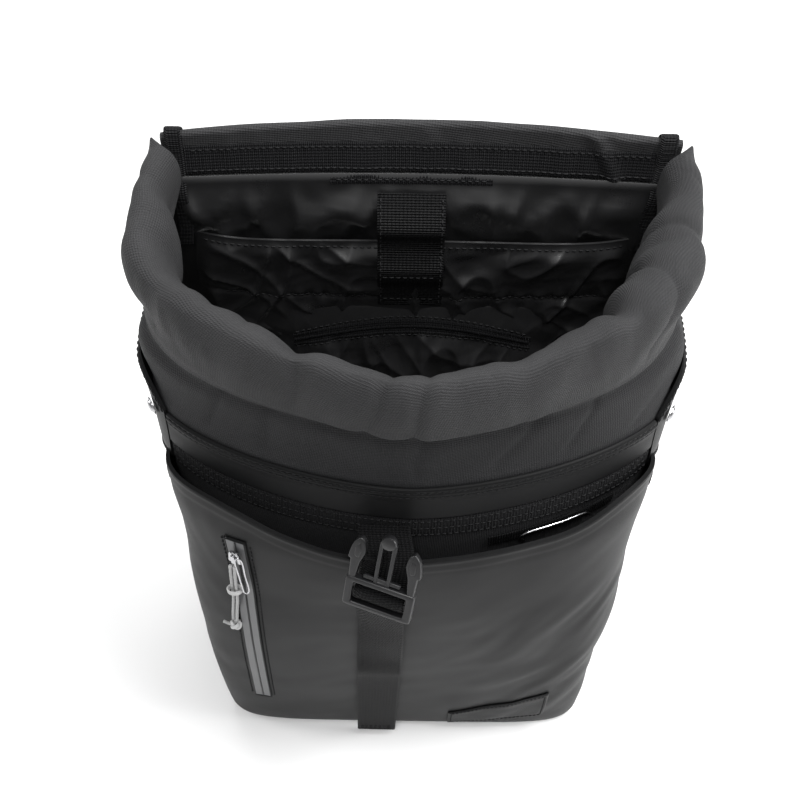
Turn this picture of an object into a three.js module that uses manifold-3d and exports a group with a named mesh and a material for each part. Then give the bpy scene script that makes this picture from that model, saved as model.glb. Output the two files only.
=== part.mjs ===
// Rolltop backpack standing open, with its collar rolled inward.
// Millimetres, +Z up, front towards -Y, origin at the centre of the flat base.
import * as THREE from "three";
import Module from "manifold-3d";
import { mergeVertices } from "three/addons/utils/BufferGeometryUtils.js";

// Overall sizes
const baseWidth = 285;
const baseDepth = 154;
const bodyHeight = 474;

// Cloth thicknesses and the clearance between two layers
const wallCloth = 2.2;
const panelCloth = 2.2;
const liningCloth = 1.2;
const rollCloth = 2.4;
const layerGap = 0.4;

// Base and padded back
const basePlate = 4;
const backPadding = 12;
const panelTop = bodyHeight - 28;
const collarCloth = 5;
const collarSlope = 20;
const backBow = 9;
const bowStart = bodyHeight - 174;
const backCrown = 4;

// Tape, patch and corner strips on the folded collar
const rimTapeBottom = panelTop + 6;
const rimTapeTop = panelTop + 21;
const rimPatchLeft = -47;
const rimPatchRight = 42;
const cornerStripWidth = 9;
const cornerStripInset = 2.5;
const cornerStripReach = 40;

// Front pocket, band and binding
const pocketDrop = 173;
const pocketTop = bodyHeight - pocketDrop;
const pocketBulge = 15.5;
const pocketMouthEnd = 0.165;
const bindingBottom = pocketTop + 1;
const bindingTop = bindingBottom + 16;
const bandTop = bindingTop + 25;
const bandEnd = 0.178;
const bandTabGap = 1.1;
const snapPlace = 0.15;
const tabGap = 0.6;
const bandCloth = 2;
const tapeCloth = 1.2;

// Side tabs and snaps
const tabTop = bandTop + 42;
const snapLevel = bandTop - 5;
const snapDiameter = 11;
const snapHeight = 2.6;

// Webbing
const webbingThickness = 1.5;
const frontWebbing = 30;
const strapWebbing = 25;
const innerWebbing = 38;

// Laptop sleeve and inner zipped pouch
const sleeveTop = bodyHeight - 59;
const sleeveBottom = 12;
const sleeveInset = 18.5;
const sleeveHalf = baseWidth / 2 - sleeveInset;
const sleeveStandoff = 9;
const sleeveFlare = 60;
const pouchTop = sleeveTop - 49;
const pouchBottom = pouchTop - 151;
const pouchHalf = 92;
const pouchDepth = 16;
const innerZipHalf = 72;
const innerZipRise = 14;
const innerZipDrop = 30;
const innerZipWidth = 8;

// Inner strap over the sleeve
const innerStrapTop = bodyHeight - 31;
const innerStrapBottom = pouchTop + 2;
const innerStrapWave = 10;
const innerStrapX = -2;
const backingMargin = 3;

// Buckle
const buckleWidth = 41;
const buckleLength = 54;
const buckleThickness = 5.5;
const buckleLean = 25;
const buckleYaw = 20;
const buckleX = -14.5;
const tailFootX = -22;

// Zip on the left of the pocket, with its slider, puller and cord
const zipWidth = 12;
const zipTop = pocketTop - 14;
const zipFoot = 64;
const zipInset = 41;
const zipFootInset = 34.5;
const zipTopX = zipInset - baseWidth / 2;
const zipFootX = zipFootInset - baseWidth / 2;
const zipCloth = 1.2;
const sliderDrop = 13;
const pullerLength = 41;
const pullerHalf = 2.2;
const pullerWire = 1.2;
const pullCordDiameter = 2.2;
const knotRadius = 3.8;

// Key strap and hook in the pocket's mouth
const keyStrapLength = 72;
const keyStrapRight = baseWidth / 2 - 24.5;
const keyStrapLeft = keyStrapRight - keyStrapLength;
const keyStrapDrop = 15;
const keyStrapWidth = 10;
const hookWire = 2;

// Label patch by the right foot of the pocket
const labelWidth = 76;
const labelLeft = baseWidth / 2 - 31.5 - labelWidth;
const labelFoot = 10.5;
const labelHeight = 28;
const labelRise = 18;
const labelGrowth = 21;

// Haul handle and closing strap with its socket
const handleHalf = 38;
const handleDepth = 20;
const handleWebbing = 15;
const handleThickness = 2.2;
const handleLevel = panelTop - 9;
const closingTop = bodyHeight - 12;
const closingLength = 124;
const socketTop = closingTop - closingLength;
const socketLength = 42;
const socketDepth = 10;

// Shoulder straps, their adjusters and the lower webbing
const strapPad = 9;
const strapTop = handleLevel - handleWebbing / 2 - 3;
const strapTopWidth = 58;
const strapLowWidth = 46;
const strapArch = 26;
const strapClear = layerGap * 2;
const adjusterHalf = 17;
const adjusterHeight = 28;
const adjusterDepth = 4;
const lowerStrapFoot = 26;
const lowerStrapInset = 20.5;

// Grid along the front and side walls, from the left back edge round to the right one
const pathSteps = 36;
const ringSteps = 360;
const backSteps = 10;

// Outline of the wall by height. Heights are shares of bodyHeight, half and backHalf
// are shares of half the wall's width, front and corner are shares of half its depth,
// and square is the exponent of the front curve.
const wallSections = [
  { height: 0.0, half: 0.985, front: 0.975, corner: -0.47, backHalf: 0.985, square: 6.0 },
  { height: 0.025, half: 1.0, front: 1.0, corner: -0.47, backHalf: 1.0, square: 5.5 },
  { height: 0.127, half: 1.005, front: 0.998, corner: -0.44, backHalf: 1.0, square: 4.6 },
  { height: 0.316, half: 1.02, front: 0.998, corner: -0.31, backHalf: 1.005, square: 3.0 },
  { height: 0.485, half: 1.03, front: 0.985, corner: -0.13, backHalf: 1.01, square: 2.1 },
  { height: 0.64, half: 1.043, front: 0.935, corner: 0.03, backHalf: 1.02, square: 1.75 },
  { height: 0.724, half: 1.047, front: 0.845, corner: 0.065, backHalf: 1.03, square: 1.65 },
  { height: 0.835, half: 1.065, front: 0.833, corner: 0.12, backHalf: 1.035, square: 1.65 },
  { height: 1.0, half: 1.05, front: 0.81, corner: 0.16, backHalf: 1.015, square: 1.65 },
];

// Rolled collar by place along the wall (0 left back, 1 right back). crease and crest
// are drops below bodyHeight as shares of collarDrop, over and width are shares of
// rollWidth.
const rollWidth = 35;
const collarDrop = 82.5;
const rollStations = [
  { along: 0.0, crease: 0.333, crest: 0, over: 0.06, width: 0.2 },
  { along: 0.04, crease: 0.46, crest: 0.023, over: 0.14, width: 0.45 },
  { along: 0.09, crease: 0.661, crest: 0.086, over: 0.19, width: 0.78 },
  { along: 0.14, crease: 0.804, crest: 0.155, over: 0.22, width: 0.9 },
  { along: 0.2, crease: 0.908, crest: 0.241, over: 0.24, width: 0.92 },
  { along: 0.28, crease: 0.954, crest: 0.316, over: 0.3, width: 0.97 },
  { along: 0.38, crease: 0.977, crest: 0.379, over: 0.42, width: 0.98 },
  { along: 0.5, crease: 1, crest: 0.414, over: 0.55, width: 1.0 },
  { along: 0.62, crease: 0.977, crest: 0.391, over: 0.46, width: 1.0 },
  { along: 0.72, crease: 0.954, crest: 0.327, over: 0.34, width: 1.03 },
  { along: 0.8, crease: 0.908, crest: 0.253, over: 0.26, width: 1.2 },
  { along: 0.86, crease: 0.804, crest: 0.172, over: 0.23, width: 1.3 },
  { along: 0.91, crease: 0.661, crest: 0.092, over: 0.19, width: 1.05 },
  { along: 0.96, crease: 0.46, crest: 0.023, over: 0.14, width: 0.5 },
  { along: 1.0, crease: 0.333, crest: 0, over: 0.06, width: 0.2 },
];

// Section of the roll, from the crease over the crest and down inside. across runs
// inward in shares of the roll's width from its outermost point, up is the share of
// the height from crease to crest.
const rollSection = [
  { across: 0.1, up: 0.13 },
  { across: 0.02, up: 0.3 },
  { across: 0.0, up: 0.5 },
  { across: 0.09, up: 0.75 },
  { across: 0.28, up: 0.94 },
  { across: 0.5, up: 1.0 },
  { across: 0.72, up: 0.94 },
  { across: 0.91, up: 0.76 },
  { across: 1.0, up: 0.5 },
  { across: 0.98, up: 0.22 },
  { across: 0.9, up: 0.02 },
];

// Main pinches of the roll: place along the wall, depth as a share of the roll's
// width, and reach as a share of the wall's length.
const rollPinches = [
  { along: 0.17, depth: 0.16, reach: 0.025 },
  { along: 0.36, depth: 0.1, reach: 0.02 },
  { along: 0.62, depth: 0.1, reach: 0.02 },
  { along: 0.76, depth: 0.22, reach: 0.02 },
  { along: 0.89, depth: 0.16, reach: 0.025 },
];

// Outward bulge of the front pocket by height, in shares of pocketTop and pocketBulge.
const pocketProfile = [
  { height: 0.0, bulge: 0.0 },
  { height: 0.05, bulge: 0.05 },
  { height: 0.2, bulge: 0.27 },
  { height: 0.5, bulge: 0.6 },
  { height: 0.78, bulge: 0.87 },
  { height: 0.95, bulge: 1.0 },
  { height: 1.0, bulge: 0.97 },
];

const cloth = (color, roughness) => new THREE.MeshStandardMaterial({ color, roughness, metalness: 0 });
const outerFabric = cloth(0x2b2b2d, 0.8);
const coatedFabric = cloth(0x232425, 0.5);
const satinLining = cloth(0x1a1a1c, 0.35);
const blackWebbing = cloth(0x18181a, 0.75);
const zipTape = cloth(0x5c5d60, 0.6);
const cordFibre = cloth(0xb4b4b4, 0.8);
const blackPlastic = new THREE.MeshStandardMaterial({ color: 0x141415, roughness: 0.4, metalness: 0 });
const chromedMetal = new THREE.MeshStandardMaterial({ color: 0xc8c9cc, roughness: 0.2, metalness: 1 });

// Interpolation through the rows of a table, smooth where the rows are smooth
function readTable(rows, key, column, at) {
  const last = rows.length - 1;
  if (at <= rows[0][key]) return rows[0][column];
  if (at >= rows[last][key]) return rows[last][column];
  const index = rows.findIndex((row) => row[key] > at) - 1;
  const [low, high] = [rows[index], rows[index + 1]];
  const span = high[key] - low[key];
  const share = (at - low[key]) / span;
  const slopeAt = (place) => {
    const before = rows[Math.max(place - 1, 0)];
    const after = rows[Math.min(place + 1, last)];
    return (after[column] - before[column]) / (after[key] - before[key]);
  };
  const squared = share * share;
  const cubed = squared * share;
  return (2 * cubed - 3 * squared + 1) * low[column]
    + (cubed - 2 * squared + share) * span * slopeAt(index)
    + (3 * squared - 2 * cubed) * high[column]
    + (cubed - squared) * span * slopeAt(index + 1);
}

const wallHalf = baseWidth / 2 - panelCloth - layerGap;
const wallFront = baseDepth / 2 - panelCloth - layerGap;
const backFace = baseDepth / 2;
const sideEnd = backFace - backPadding - layerGap;

// Plan outline of the wall's outer face at one height, cut into equal steps, with
// the outward normal at each step
const outlines = new Map();
function wallOutline(height) {
  const key = height.toFixed(3);
  if (outlines.has(key)) return outlines.get(key);
  const read = (column) => readTable(wallSections, "height", column, height / bodyHeight);
  const half = read("half") * wallHalf;
  const backHalf = read("backHalf") * wallHalf;
  const corner = read("corner") * wallFront;
  const depth = read("front") * wallFront + corner;
  const power = 2 / read("square");
  const dense = [new THREE.Vector2(-backHalf, sideEnd)];
  for (let step = 0; step <= ringSteps; step += 1) {
    const angle = Math.PI * (step / ringSteps - 0.5);
    const x = Math.sign(angle) * half * Math.abs(Math.sin(angle)) ** power;
    dense.push(new THREE.Vector2(x, corner - depth * Math.cos(angle) ** power));
  }
  dense.push(new THREE.Vector2(backHalf, sideEnd));
  const lengths = [0];
  for (let index = 1; index < dense.length; index += 1) {
    lengths.push(lengths[index - 1] + dense[index].distanceTo(dense[index - 1]));
  }
  const whole = lengths[lengths.length - 1];
  const points = [];
  let segment = 1;
  for (let step = 0; step <= pathSteps; step += 1) {
    const target = (whole * step) / pathSteps;
    while (segment < dense.length - 1 && lengths[segment] < target) segment += 1;
    const share = (target - lengths[segment - 1]) / (lengths[segment] - lengths[segment - 1]);
    points.push(dense[segment - 1].clone().lerp(dense[segment], Math.min(share, 1)));
  }
  const normals = points.map((point, step) => {
    const before = points[Math.max(step - 1, 0)];
    const after = points[Math.min(step + 1, pathSteps)];
    const tangent = after.clone().sub(before).normalize();
    return new THREE.Vector2(tangent.y, -tangent.x);
  });
  normals[0].set(-1, 0);
  normals[pathSteps].set(1, 0);
  outlines.set(key, { points, normals });
  return outlines.get(key);
}

// A point of the wall at a step of the grid, or between two steps, moved outward
function wallPoint(step, height, outward) {
  const { points, normals } = wallOutline(height);
  const low = Math.min(Math.floor(step), pathSteps - 1);
  const moved = (index) => points[index].clone().addScaledVector(normals[index], outward);
  const point = moved(low).lerp(moved(low + 1), step - low);
  return new THREE.Vector3(point.x, point.y, height);
}

// A point of the front wall at a given x, moved outward by a distance that may
// depend on the step
function frontPoint(x, height, outwardAt) {
  const first = 6;
  let before = wallPoint(first, height, outwardAt(first, height));
  for (let step = first + 1; step <= pathSteps - first; step += 1) {
    const after = wallPoint(step, height, outwardAt(step, height));
    if (after.x >= x) {
      const share = (x - before.x) / (after.x - before.x);
      return before.clone().lerp(after, share);
    }
    before = after;
  }
  return before;
}

// A closed solid from points and triangles, with its faces turned outward
function solid(points, triangles) {
  let volume = 0;
  for (const [a, b, c] of triangles) {
    volume += points[a].dot(points[b].clone().cross(points[c]));
  }
  const turned = volume < 0 ? triangles.map(([a, b, c]) => [a, c, b]) : triangles;
  const geometry = new THREE.BufferGeometry();
  const places = points.flatMap((point) => [point.x, point.y, point.z]);
  geometry.setAttribute("position", new THREE.Float32BufferAttribute(places, 3));
  geometry.setIndex(turned.flat());
  return geometry;
}

// A sheet of cloth between two grids of points, closed round its four edges
function closedSheet(outer, inner) {
  const rows = outer.length;
  const columns = outer[0].length;
  const points = [...outer.flat(), ...inner.flat()];
  const offset = rows * columns;
  const at = (row, column) => row * columns + column;
  const triangles = [];
  const quad = (a, b, c, d) => triangles.push([a, b, c], [a, c, d]);
  for (let row = 0; row < rows - 1; row += 1) {
    for (let column = 0; column < columns - 1; column += 1) {
      const corners = [at(row, column), at(row + 1, column), at(row + 1, column + 1), at(row, column + 1)];
      quad(...corners);
      const [a, b, c, d] = corners.map((corner) => corner + offset);
      triangles.push([a, c, b], [a, d, c]);
    }
  }
  for (let row = 0; row < rows - 1; row += 1) {
    const end = columns - 1;
    quad(at(row + 1, 0), at(row, 0), at(row, 0) + offset, at(row + 1, 0) + offset);
    quad(at(row, end), at(row + 1, end), at(row + 1, end) + offset, at(row, end) + offset);
  }
  for (let column = 0; column < columns - 1; column += 1) {
    const end = rows - 1;
    quad(at(0, column), at(0, column + 1), at(0, column + 1) + offset, at(0, column) + offset);
    quad(at(end, column + 1), at(end, column), at(end, column) + offset, at(end, column + 1) + offset);
  }
  return solid(points, triangles);
}

// A body lofted through closed rings, with flat fans on its first and last ring
function loft(rings) {
  const count = rings[0].length;
  const points = rings.flat();
  const triangles = [];
  for (let ring = 0; ring < rings.length - 1; ring += 1) {
    for (let index = 0; index < count; index += 1) {
      const next = (index + 1) % count;
      const [a, b] = [ring * count + index, ring * count + next];
      triangles.push([a, b, b + count], [a, b + count, a + count]);
    }
  }
  const fan = (ring, turn) => {
    const centre = new THREE.Vector3();
    rings[ring].forEach((point) => centre.add(point));
    centre.divideScalar(count);
    const hub = points.push(centre) - 1;
    for (let index = 0; index < count; index += 1) {
      const [a, b] = [ring * count + index, ring * count + ((index + 1) % count)];
      triangles.push(turn ? [hub, b, a] : [hub, a, b]);
    }
  };
  fan(0, true);
  fan(rings.length - 1, false);
  return solid(points, triangles);
}

// Webbing along a line of points, as wide as widthAt along the direction acrossAt
function ribbon(line, acrossAt, widthAt, thickness) {
  const faces = [[], []];
  const widths = [-0.5, 0.5];
  widths.forEach((share, row) => {
    faces[0][row] = [];
    faces[1][row] = [];
    line.forEach((point, index) => {
      const before = line[Math.max(index - 1, 0)];
      const after = line[Math.min(index + 1, line.length - 1)];
      const tangent = after.clone().sub(before).normalize();
      const side = acrossAt(index / (line.length - 1), point);
      const normal = tangent.clone().cross(side).normalize();
      const width = widthAt(index / (line.length - 1));
      const edge = point.clone().addScaledVector(side, share * width);
      faces[0][row].push(edge.clone().addScaledVector(normal, thickness / 2));
      faces[1][row].push(edge.clone().addScaledVector(normal, -thickness / 2));
    });
  });
  return closedSheet(faces[0], faces[1]);
}

const alongX = () => new THREE.Vector3(1, 0, 0);
const alongZ = () => new THREE.Vector3(0, 0, 1);

function smoothLine(points, steps) {
  return new THREE.CatmullRomCurve3(points, false, "centripetal").getPoints(steps);
}

// Joins and cuts of closed geometries
const library = await Module();
library.setup();

function toManifold(geometry) {
  const bare = geometry.clone();
  bare.deleteAttribute("normal");
  bare.deleteAttribute("uv");
  const merged = mergeVertices(bare, 1e-4);
  return new library.Manifold(new library.Mesh({
    numProp: 3,
    vertProperties: new Float32Array(merged.attributes.position.array),
    triVerts: new Uint32Array(merged.index.array),
  }));
}

function fromManifold(body) {
  const mesh = body.getMesh();
  const geometry = new THREE.BufferGeometry();
  geometry.setAttribute("position", new THREE.BufferAttribute(new Float32Array(mesh.vertProperties), 3));
  geometry.setIndex(new THREE.BufferAttribute(new Uint32Array(mesh.triVerts), 1));
  return geometry;
}

function joined(...parts) {
  return fromManifold(parts.map(toManifold).reduce((whole, part) => whole.add(part)));
}

// A flat outline made into a plate that is centred on its own plane
function plate(outline, thickness, holes = []) {
  const flat = (list) => list.map(([x, y]) => new THREE.Vector2(x, y));
  const shape = new THREE.Shape(flat(outline));
  holes.forEach((hole) => shape.holes.push(new THREE.Path(flat(hole))));
  const geometry = new THREE.ExtrudeGeometry(shape, { depth: thickness, bevelEnabled: false });
  return geometry.translate(0, 0, -thickness / 2);
}

const rectangle = (left, right, low, high) => [[left, low], [right, low], [right, high], [left, high]];

// A round wire or cord along a line of points
function wire(points, diameter, sides, steps) {
  const section = new THREE.Shape();
  for (let side = 0; side < sides; side += 1) {
    const angle = (2 * Math.PI * side) / sides;
    const [x, y] = [(Math.cos(angle) * diameter) / 2, (Math.sin(angle) * diameter) / 2];
    if (side === 0) section.moveTo(x, y);
    else section.lineTo(x, y);
  }
  const path = new THREE.CatmullRomCurve3(points, false, "centripetal");
  return new THREE.ExtrudeGeometry(section, { steps, extrudePath: path, bevelEnabled: false });
}

const backpack = new THREE.Group();

function addPiece(name, geometry, material) {
  const mesh = new THREE.Mesh(geometry, material);
  mesh.name = name;
  backpack.add(mesh);
  return mesh;
}

// Backward bow of the upper back, flat near the base and at both side edges
function bow(x, height) {
  const rise = Math.max(0, (height - bowStart) / (bodyHeight - bowStart));
  const share = Math.min(Math.abs(x) / wallHalf, 1);
  return backBow * rise * rise * (1 - share * share);
}

// Values at equal distances, and whole numbers, both with their two ends
const stepRange = (from, to) => Array.from({ length: to - from + 1 }, (_, index) => from + index);
const spread = (from, to, count) => stepRange(0, count).map((index) => from + ((to - from) * index) / count);
function creaseAt(step) {
  return bodyHeight - readTable(rollStations, "along", "crease", step / pathSteps) * collarDrop;
}

// Base plate, the flat face that the backpack stands on
function basePanel() {
  const rings = [
    { height: 0, inset: 3 },
    { height: 1.4, inset: 0.8 },
    { height: basePlate, inset: 0 },
  ].map(({ height, inset }) => {
    const front = stepRange(0, pathSteps).map((step) => {
      return wallPoint(step, basePlate, panelCloth + layerGap - inset).setZ(height);
    });
    const half = front[front.length - 1].x;
    const corner = backFace - inset;
    return [...front, new THREE.Vector3(half, corner, height), new THREE.Vector3(-half, corner, height)];
  });
  return loft(rings);
}

// Front and side walls in woven fabric, from the base to the crease of the roll
const wallFoot = basePlate + layerGap;
const pocketRows = [0.04, 0.2, 0.4, 0.6, 0.765, 0.89].map((share) => share * pocketTop);
const gridHeights = [...pocketRows, bindingBottom, bindingTop, bandTop];
const upperHeights = (top) => spread(bandTop, top, 3).slice(1);
function bodyWall() {
  const face = (outward) => stepRange(0, pathSteps).map((step) => {
    const heights = [wallFoot, ...gridHeights, ...upperHeights(creaseAt(step))];
    return heights.map((height) => wallPoint(step, height, outward));
  });
  return closedSheet(face(0), face(-wallCloth));
}

// Bulge of the pocket panel over the wall at one step and height
function pocketOut(step, height) {
  const along = Math.abs(step / pathSteps - 0.5) / (0.5 - pocketMouthEnd);
  const spanShare = Math.max(0, 1 - along ** 8);
  const rise = readTable(pocketProfile, "height", "bulge", height / pocketTop);
  return layerGap + pocketBulge * spanShare * rise;
}

// Coated panel round the lower front and sides, standing off as the front pocket
function pocketPanel() {
  const heights = [wallFoot, ...pocketRows, pocketTop];
  const face = (extra) => stepRange(0, pathSteps).map((step) => {
    return heights.map((height) => wallPoint(step, height, pocketOut(step, height) + extra));
  });
  return closedSheet(face(panelCloth), face(0));
}

// Layer of cloth that lies on the wall between two steps
function layerOnWall(steps, heightsAt, clearance, thickness) {
  const face = (outward) => steps.map((step) => {
    return heightsAt(step).map((height) => wallPoint(step, height, outward));
  });
  return closedSheet(face(clearance + thickness), face(clearance));
}

// Steps of the grid between two shares of the wall's length, ends included
function stepsBetween(from, to) {
  const [first, last] = [from * pathSteps, to * pathSteps];
  return [first, ...stepRange(Math.floor(first) + 1, Math.ceil(last) - 1), last];
}

const bandSteps = stepsBetween(bandEnd, 1 - bandEnd);
const leftTabSteps = stepsBetween(0, bandEnd - bandTabGap / (baseWidth + 2 * baseDepth));
const rightTabSteps = leftTabSteps.map((step) => pathSteps - step).reverse();
const tabEndRise = 3;
const tabHeights = (step) => {
  const reach = Math.min(step, pathSteps - step) / leftTabSteps[leftTabSteps.length - 1];
  const rise = tabTop - bandTop - (tabTop - bandTop - tabEndRise) * reach ** 4;
  return [bindingBottom, bindingTop, bandTop, bandTop + rise / 2, bandTop + rise];
};

// Point of the roll's section at one step. inward moves it into the roll's cloth.
const rollSteps = stepRange(0, pathSteps);
const smoothing = 5;
function rollDirection(step) {
  const sum = new THREE.Vector2();
  for (let near = step - smoothing; near <= step + smoothing; near += 1) {
    const kept = Math.min(Math.max(near, 0), pathSteps);
    sum.add(wallOutline(creaseAt(kept)).normals[kept]);
  }
  return sum.normalize();
}

function rollPinch(along) {
  return rollPinches.reduce((depth, pinch) => {
    const offset = (along - pinch.along) / pinch.reach;
    return depth + pinch.depth * Math.exp(-offset * offset);
  }, 0);
}

function rollProfile(step) {
  const along = step / pathSteps;
  const read = (column) => readTable(rollStations, "along", column, along);
  const foot = creaseAt(step) + layerGap;
  const rise = bodyHeight - read("crest") * collarDrop - foot;
  const over = read("over") * rollWidth;
  const pinch = rollPinch(along);
  const width = read("width") * rollWidth;
  const profile = [new THREE.Vector2(0, foot)];
  rollSection.forEach(({ across, up }) => {
    const squeeze = 1 - pinch * up;
    const drop = 1 - pinch * 0.3;
    profile.push(new THREE.Vector2(over - across * width * squeeze, foot + rise * up * drop));
  });
  return profile;
}

function collarRoll() {
  const endStation = { backward: backPadding - collarCloth };
  const stations = [
    { step: 0, ...endStation },
    ...rollSteps.map((step) => ({ step, backward: 0 })),
    { step: pathSteps, ...endStation },
  ];
  const face = (depth) => stations.map(({ step, backward }) => {
    const profile = rollProfile(step);
    const base = wallPoint(step, creaseAt(step), 0);
    const direction = rollDirection(step);
    return profile.map((point, index) => {
      const before = profile[Math.max(index - 1, 0)];
      const after = profile[Math.min(index + 1, profile.length - 1)];
      const tangent = after.clone().sub(before).normalize();
      const u = point.x - tangent.y * depth;
      const z = point.y + tangent.x * depth;
      const height = Math.max(z, creaseAt(step) + layerGap);
      return new THREE.Vector3(base.x + direction.x * u, base.y + direction.y * u + backward, height);
    });
  });
  return closedSheet(face(0), face(rollCloth));
}

// Padded back panel, a plain slab with rounded edges
function backPanel() {
  const bowed = gridHeights.filter((height) => height > bowStart);
  const rows = [wallFoot, bowStart, ...bowed, ...upperHeights(panelTop)];
  const edge = 4;
  const bevel = 0.6;
  const rings = rows.map((height) => {
    const read = readTable(wallSections, "height", "backHalf", height / bodyHeight);
    const half = read * wallHalf + panelCloth + layerGap;
    const xs = spread(-half + edge, half - edge, backSteps);
    const inner = xs.map((x) => new THREE.Vector3(x, backFace - backPadding + bow(x, height), height));
    const outer = xs.map((x) => new THREE.Vector3(x, backFace + bow(x, height), height)).reverse();
    const corner = (x, y) => new THREE.Vector3(x, y, height);
    return [
      corner(-half, backFace - backPadding + bevel),
      ...inner,
      corner(half, backFace - backPadding + bevel),
      corner(half, backFace - edge),
      ...outer,
      corner(-half, backFace - edge),
    ];
  });
  return loft(rings);
}

// Inner face of the collar, sloping from the padded panel back to the thin rim
function collarFront(x, height) {
  const share = THREE.MathUtils.clamp((height - panelTop) / collarSlope, 0, 1);
  return backFace - backPadding + (backPadding - collarCloth) * share + bow(x, height);
}

const collarHalf = readTable(wallSections, "height", "backHalf", 1) * wallHalf - rollWidth * 0.14;

// Top strip of outer fabric that is folded to the inside along the back
function backCollar() {
  const xs = spread(-collarHalf, collarHalf, 2 * backSteps);
  const face = (front) => xs.map((x) => {
    const crown = bodyHeight + backCrown * (1 - (x / collarHalf) ** 2);
    const rows = [
      { height: panelTop + layerGap, trim: 0 },
      { height: panelTop + collarSlope / 2, trim: 0 },
      { height: panelTop + collarSlope, trim: 0 },
      { height: crown - collarCloth / 3, trim: 0.05 },
      { height: crown, trim: 0.36 },
    ];
    return rows.map(({ height, trim }) => {
      const inside = collarFront(x, height);
      const outside = backFace + bow(x, height);
      const pulled = (outside - inside) * trim;
      return new THREE.Vector3(x, front ? inside + pulled : outside - pulled, height);
    });
  });
  return closedSheet(face(false), face(true));
}

// Strip that lies on the inner face of the collar
function collarStrip(left, right, low, high, clearance, thickness) {
  const xs = spread(left, right, 2 * backSteps);
  const kink = panelTop + collarSlope;
  const heights = high > kink ? [low, (low + kink) / 2, kink, high] : [low, high];
  const face = (forward) => xs.map((x) => heights.map((height) => {
    return new THREE.Vector3(x, collarFront(x, height) - forward, height);
  }));
  return closedSheet(face(clearance), face(clearance + thickness));
}

// Satin lining: an open tub just inside the walls
const liningFoot = wallFoot + layerGap;
const liningBack = (x, height) => backFace - backPadding - 1.5 * layerGap + bow(x, height);
const liningRows = gridHeights.length + 4;
const liningHeight = (row, top) => [liningFoot, ...gridHeights, ...upperHeights(top - 2)][row];
function liningRing(row, inset) {
  const sides = stepRange(0, pathSteps).map((step) => {
    const height = liningHeight(row, creaseAt(step));
    const place = wallPoint(step, height, -wallCloth - layerGap - inset);
    place.y = Math.min(place.y, liningBack(place.x, height) - inset);
    return place;
  });
  const backHeight = liningHeight(row, panelTop);
  const half = sides[sides.length - 1].x;
  const back = spread(half, -half, backSteps).slice(1, -1).map((x) => {
    return new THREE.Vector3(x, liningBack(x, backHeight) - inset, backHeight);
  });
  return [...sides, ...back];
}

function lining() {
  const rows = stepRange(0, liningRows - 1);
  const outer = rows.map((row) => liningRing(row, 0)).reverse();
  const inner = rows.map((row) => liningRing(row, liningCloth));
  inner[0] = inner[0].map((point) => point.clone().setZ(liningFoot + liningCloth));
  const count = outer[0].length;
  const rings = [...outer, ...inner];
  const points = rings.flat();
  const triangles = [];
  const band = (low, high, turn) => {
    for (let index = 0; index < count; index += 1) {
      const next = (index + 1) % count;
      const [a, b] = [low * count + index, low * count + next];
      const [c, d] = [high * count + next, high * count + index];
      triangles.push(turn ? [a, b, c] : [a, c, b], turn ? [a, c, d] : [a, d, c]);
    }
  };
  const size = liningRows;
  for (let ring = 0; ring < size - 1; ring += 1) {
    band(ring + 1, ring, true);
    band(size + ring, size + ring + 1, false);
  }
  band(0, 2 * size - 1, true);
  [[size - 1, true], [size, false]].forEach(([ring, turn]) => {
    const hub = points.push(new THREE.Vector3(0, 0, rings[ring][0].z)) - 1;
    for (let index = 0; index < count; index += 1) {
      const [a, b] = [ring * count + index, ring * count + ((index + 1) % count)];
      triangles.push(turn ? [hub, b, a] : [hub, a, b]);
    }
  });
  return solid(points, triangles);
}

// Laptop sleeve: a sheet that stands off the back lining and closes at both sides
function sleeveBack(x, height) {
  const edge = 1 - Math.min(Math.abs(x) / sleeveHalf, 1) ** 6;
  const foot = THREE.MathUtils.smoothstep(height, sleeveBottom, sleeveBottom + sleeveFlare);
  const standoff = layerGap + (sleeveStandoff - layerGap) * edge * foot;
  return liningBack(x, height) - liningCloth - standoff;
}

const sleeveFront = (x, height) => sleeveBack(x, height) - liningCloth;

function laptopSleeve() {
  const xs = spread(-sleeveHalf, sleeveHalf, 2 * backSteps);
  const foot = spread(sleeveBottom, sleeveBottom + sleeveFlare, 2);
  const heights = [...foot, (sleeveBottom + sleeveFlare + bowStart) / 2, ...spread(bowStart, sleeveTop, 3)];
  const face = (forward) => xs.map((x) => heights.map((height) => {
    return new THREE.Vector3(x, sleeveBack(x, height) - forward, height);
  }));
  return closedSheet(face(0), face(liningCloth));
}

// Gathered inner pouch, closed by its zip: front face in front of the sleeve
function pouchFront(x, height) {
  const up = (height - pouchBottom) / (pouchTop - pouchBottom);
  const across = 1 - Math.min(Math.abs(x) / pouchHalf, 1) ** 3;
  const belly = Math.sin(Math.PI * Math.min(up, 1) ** 0.8) ** 0.8;
  return sleeveFront(x, height) - layerGap - 1.6 - pouchDepth * across * belly;
}

function innerPouch() {
  const xs = spread(-pouchHalf, pouchHalf, backSteps);
  const heights = spread(pouchBottom, pouchTop, 8);
  const front = xs.map((x) => heights.map((height) => new THREE.Vector3(x, pouchFront(x, height), height)));
  const back = xs.map((x) => heights.map((height) => {
    return new THREE.Vector3(x, sleeveFront(x, height) - layerGap, height);
  }));
  return closedSheet(front, back);
}

// Zip across the pouch, an arch on its front face
function innerZip() {
  const xs = spread(-innerZipHalf, innerZipHalf, backSteps);
  const face = (forward) => xs.map((x) => [0, innerZipWidth].map((up) => {
    const arch = innerZipRise * (1 - (x / innerZipHalf) ** 2);
    const height = pouchTop - innerZipDrop + arch + up;
    return new THREE.Vector3(x, pouchFront(x, height) - forward, height);
  }));
  return closedSheet(face(layerGap + 1.8), face(layerGap + 0.6));
}

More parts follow.
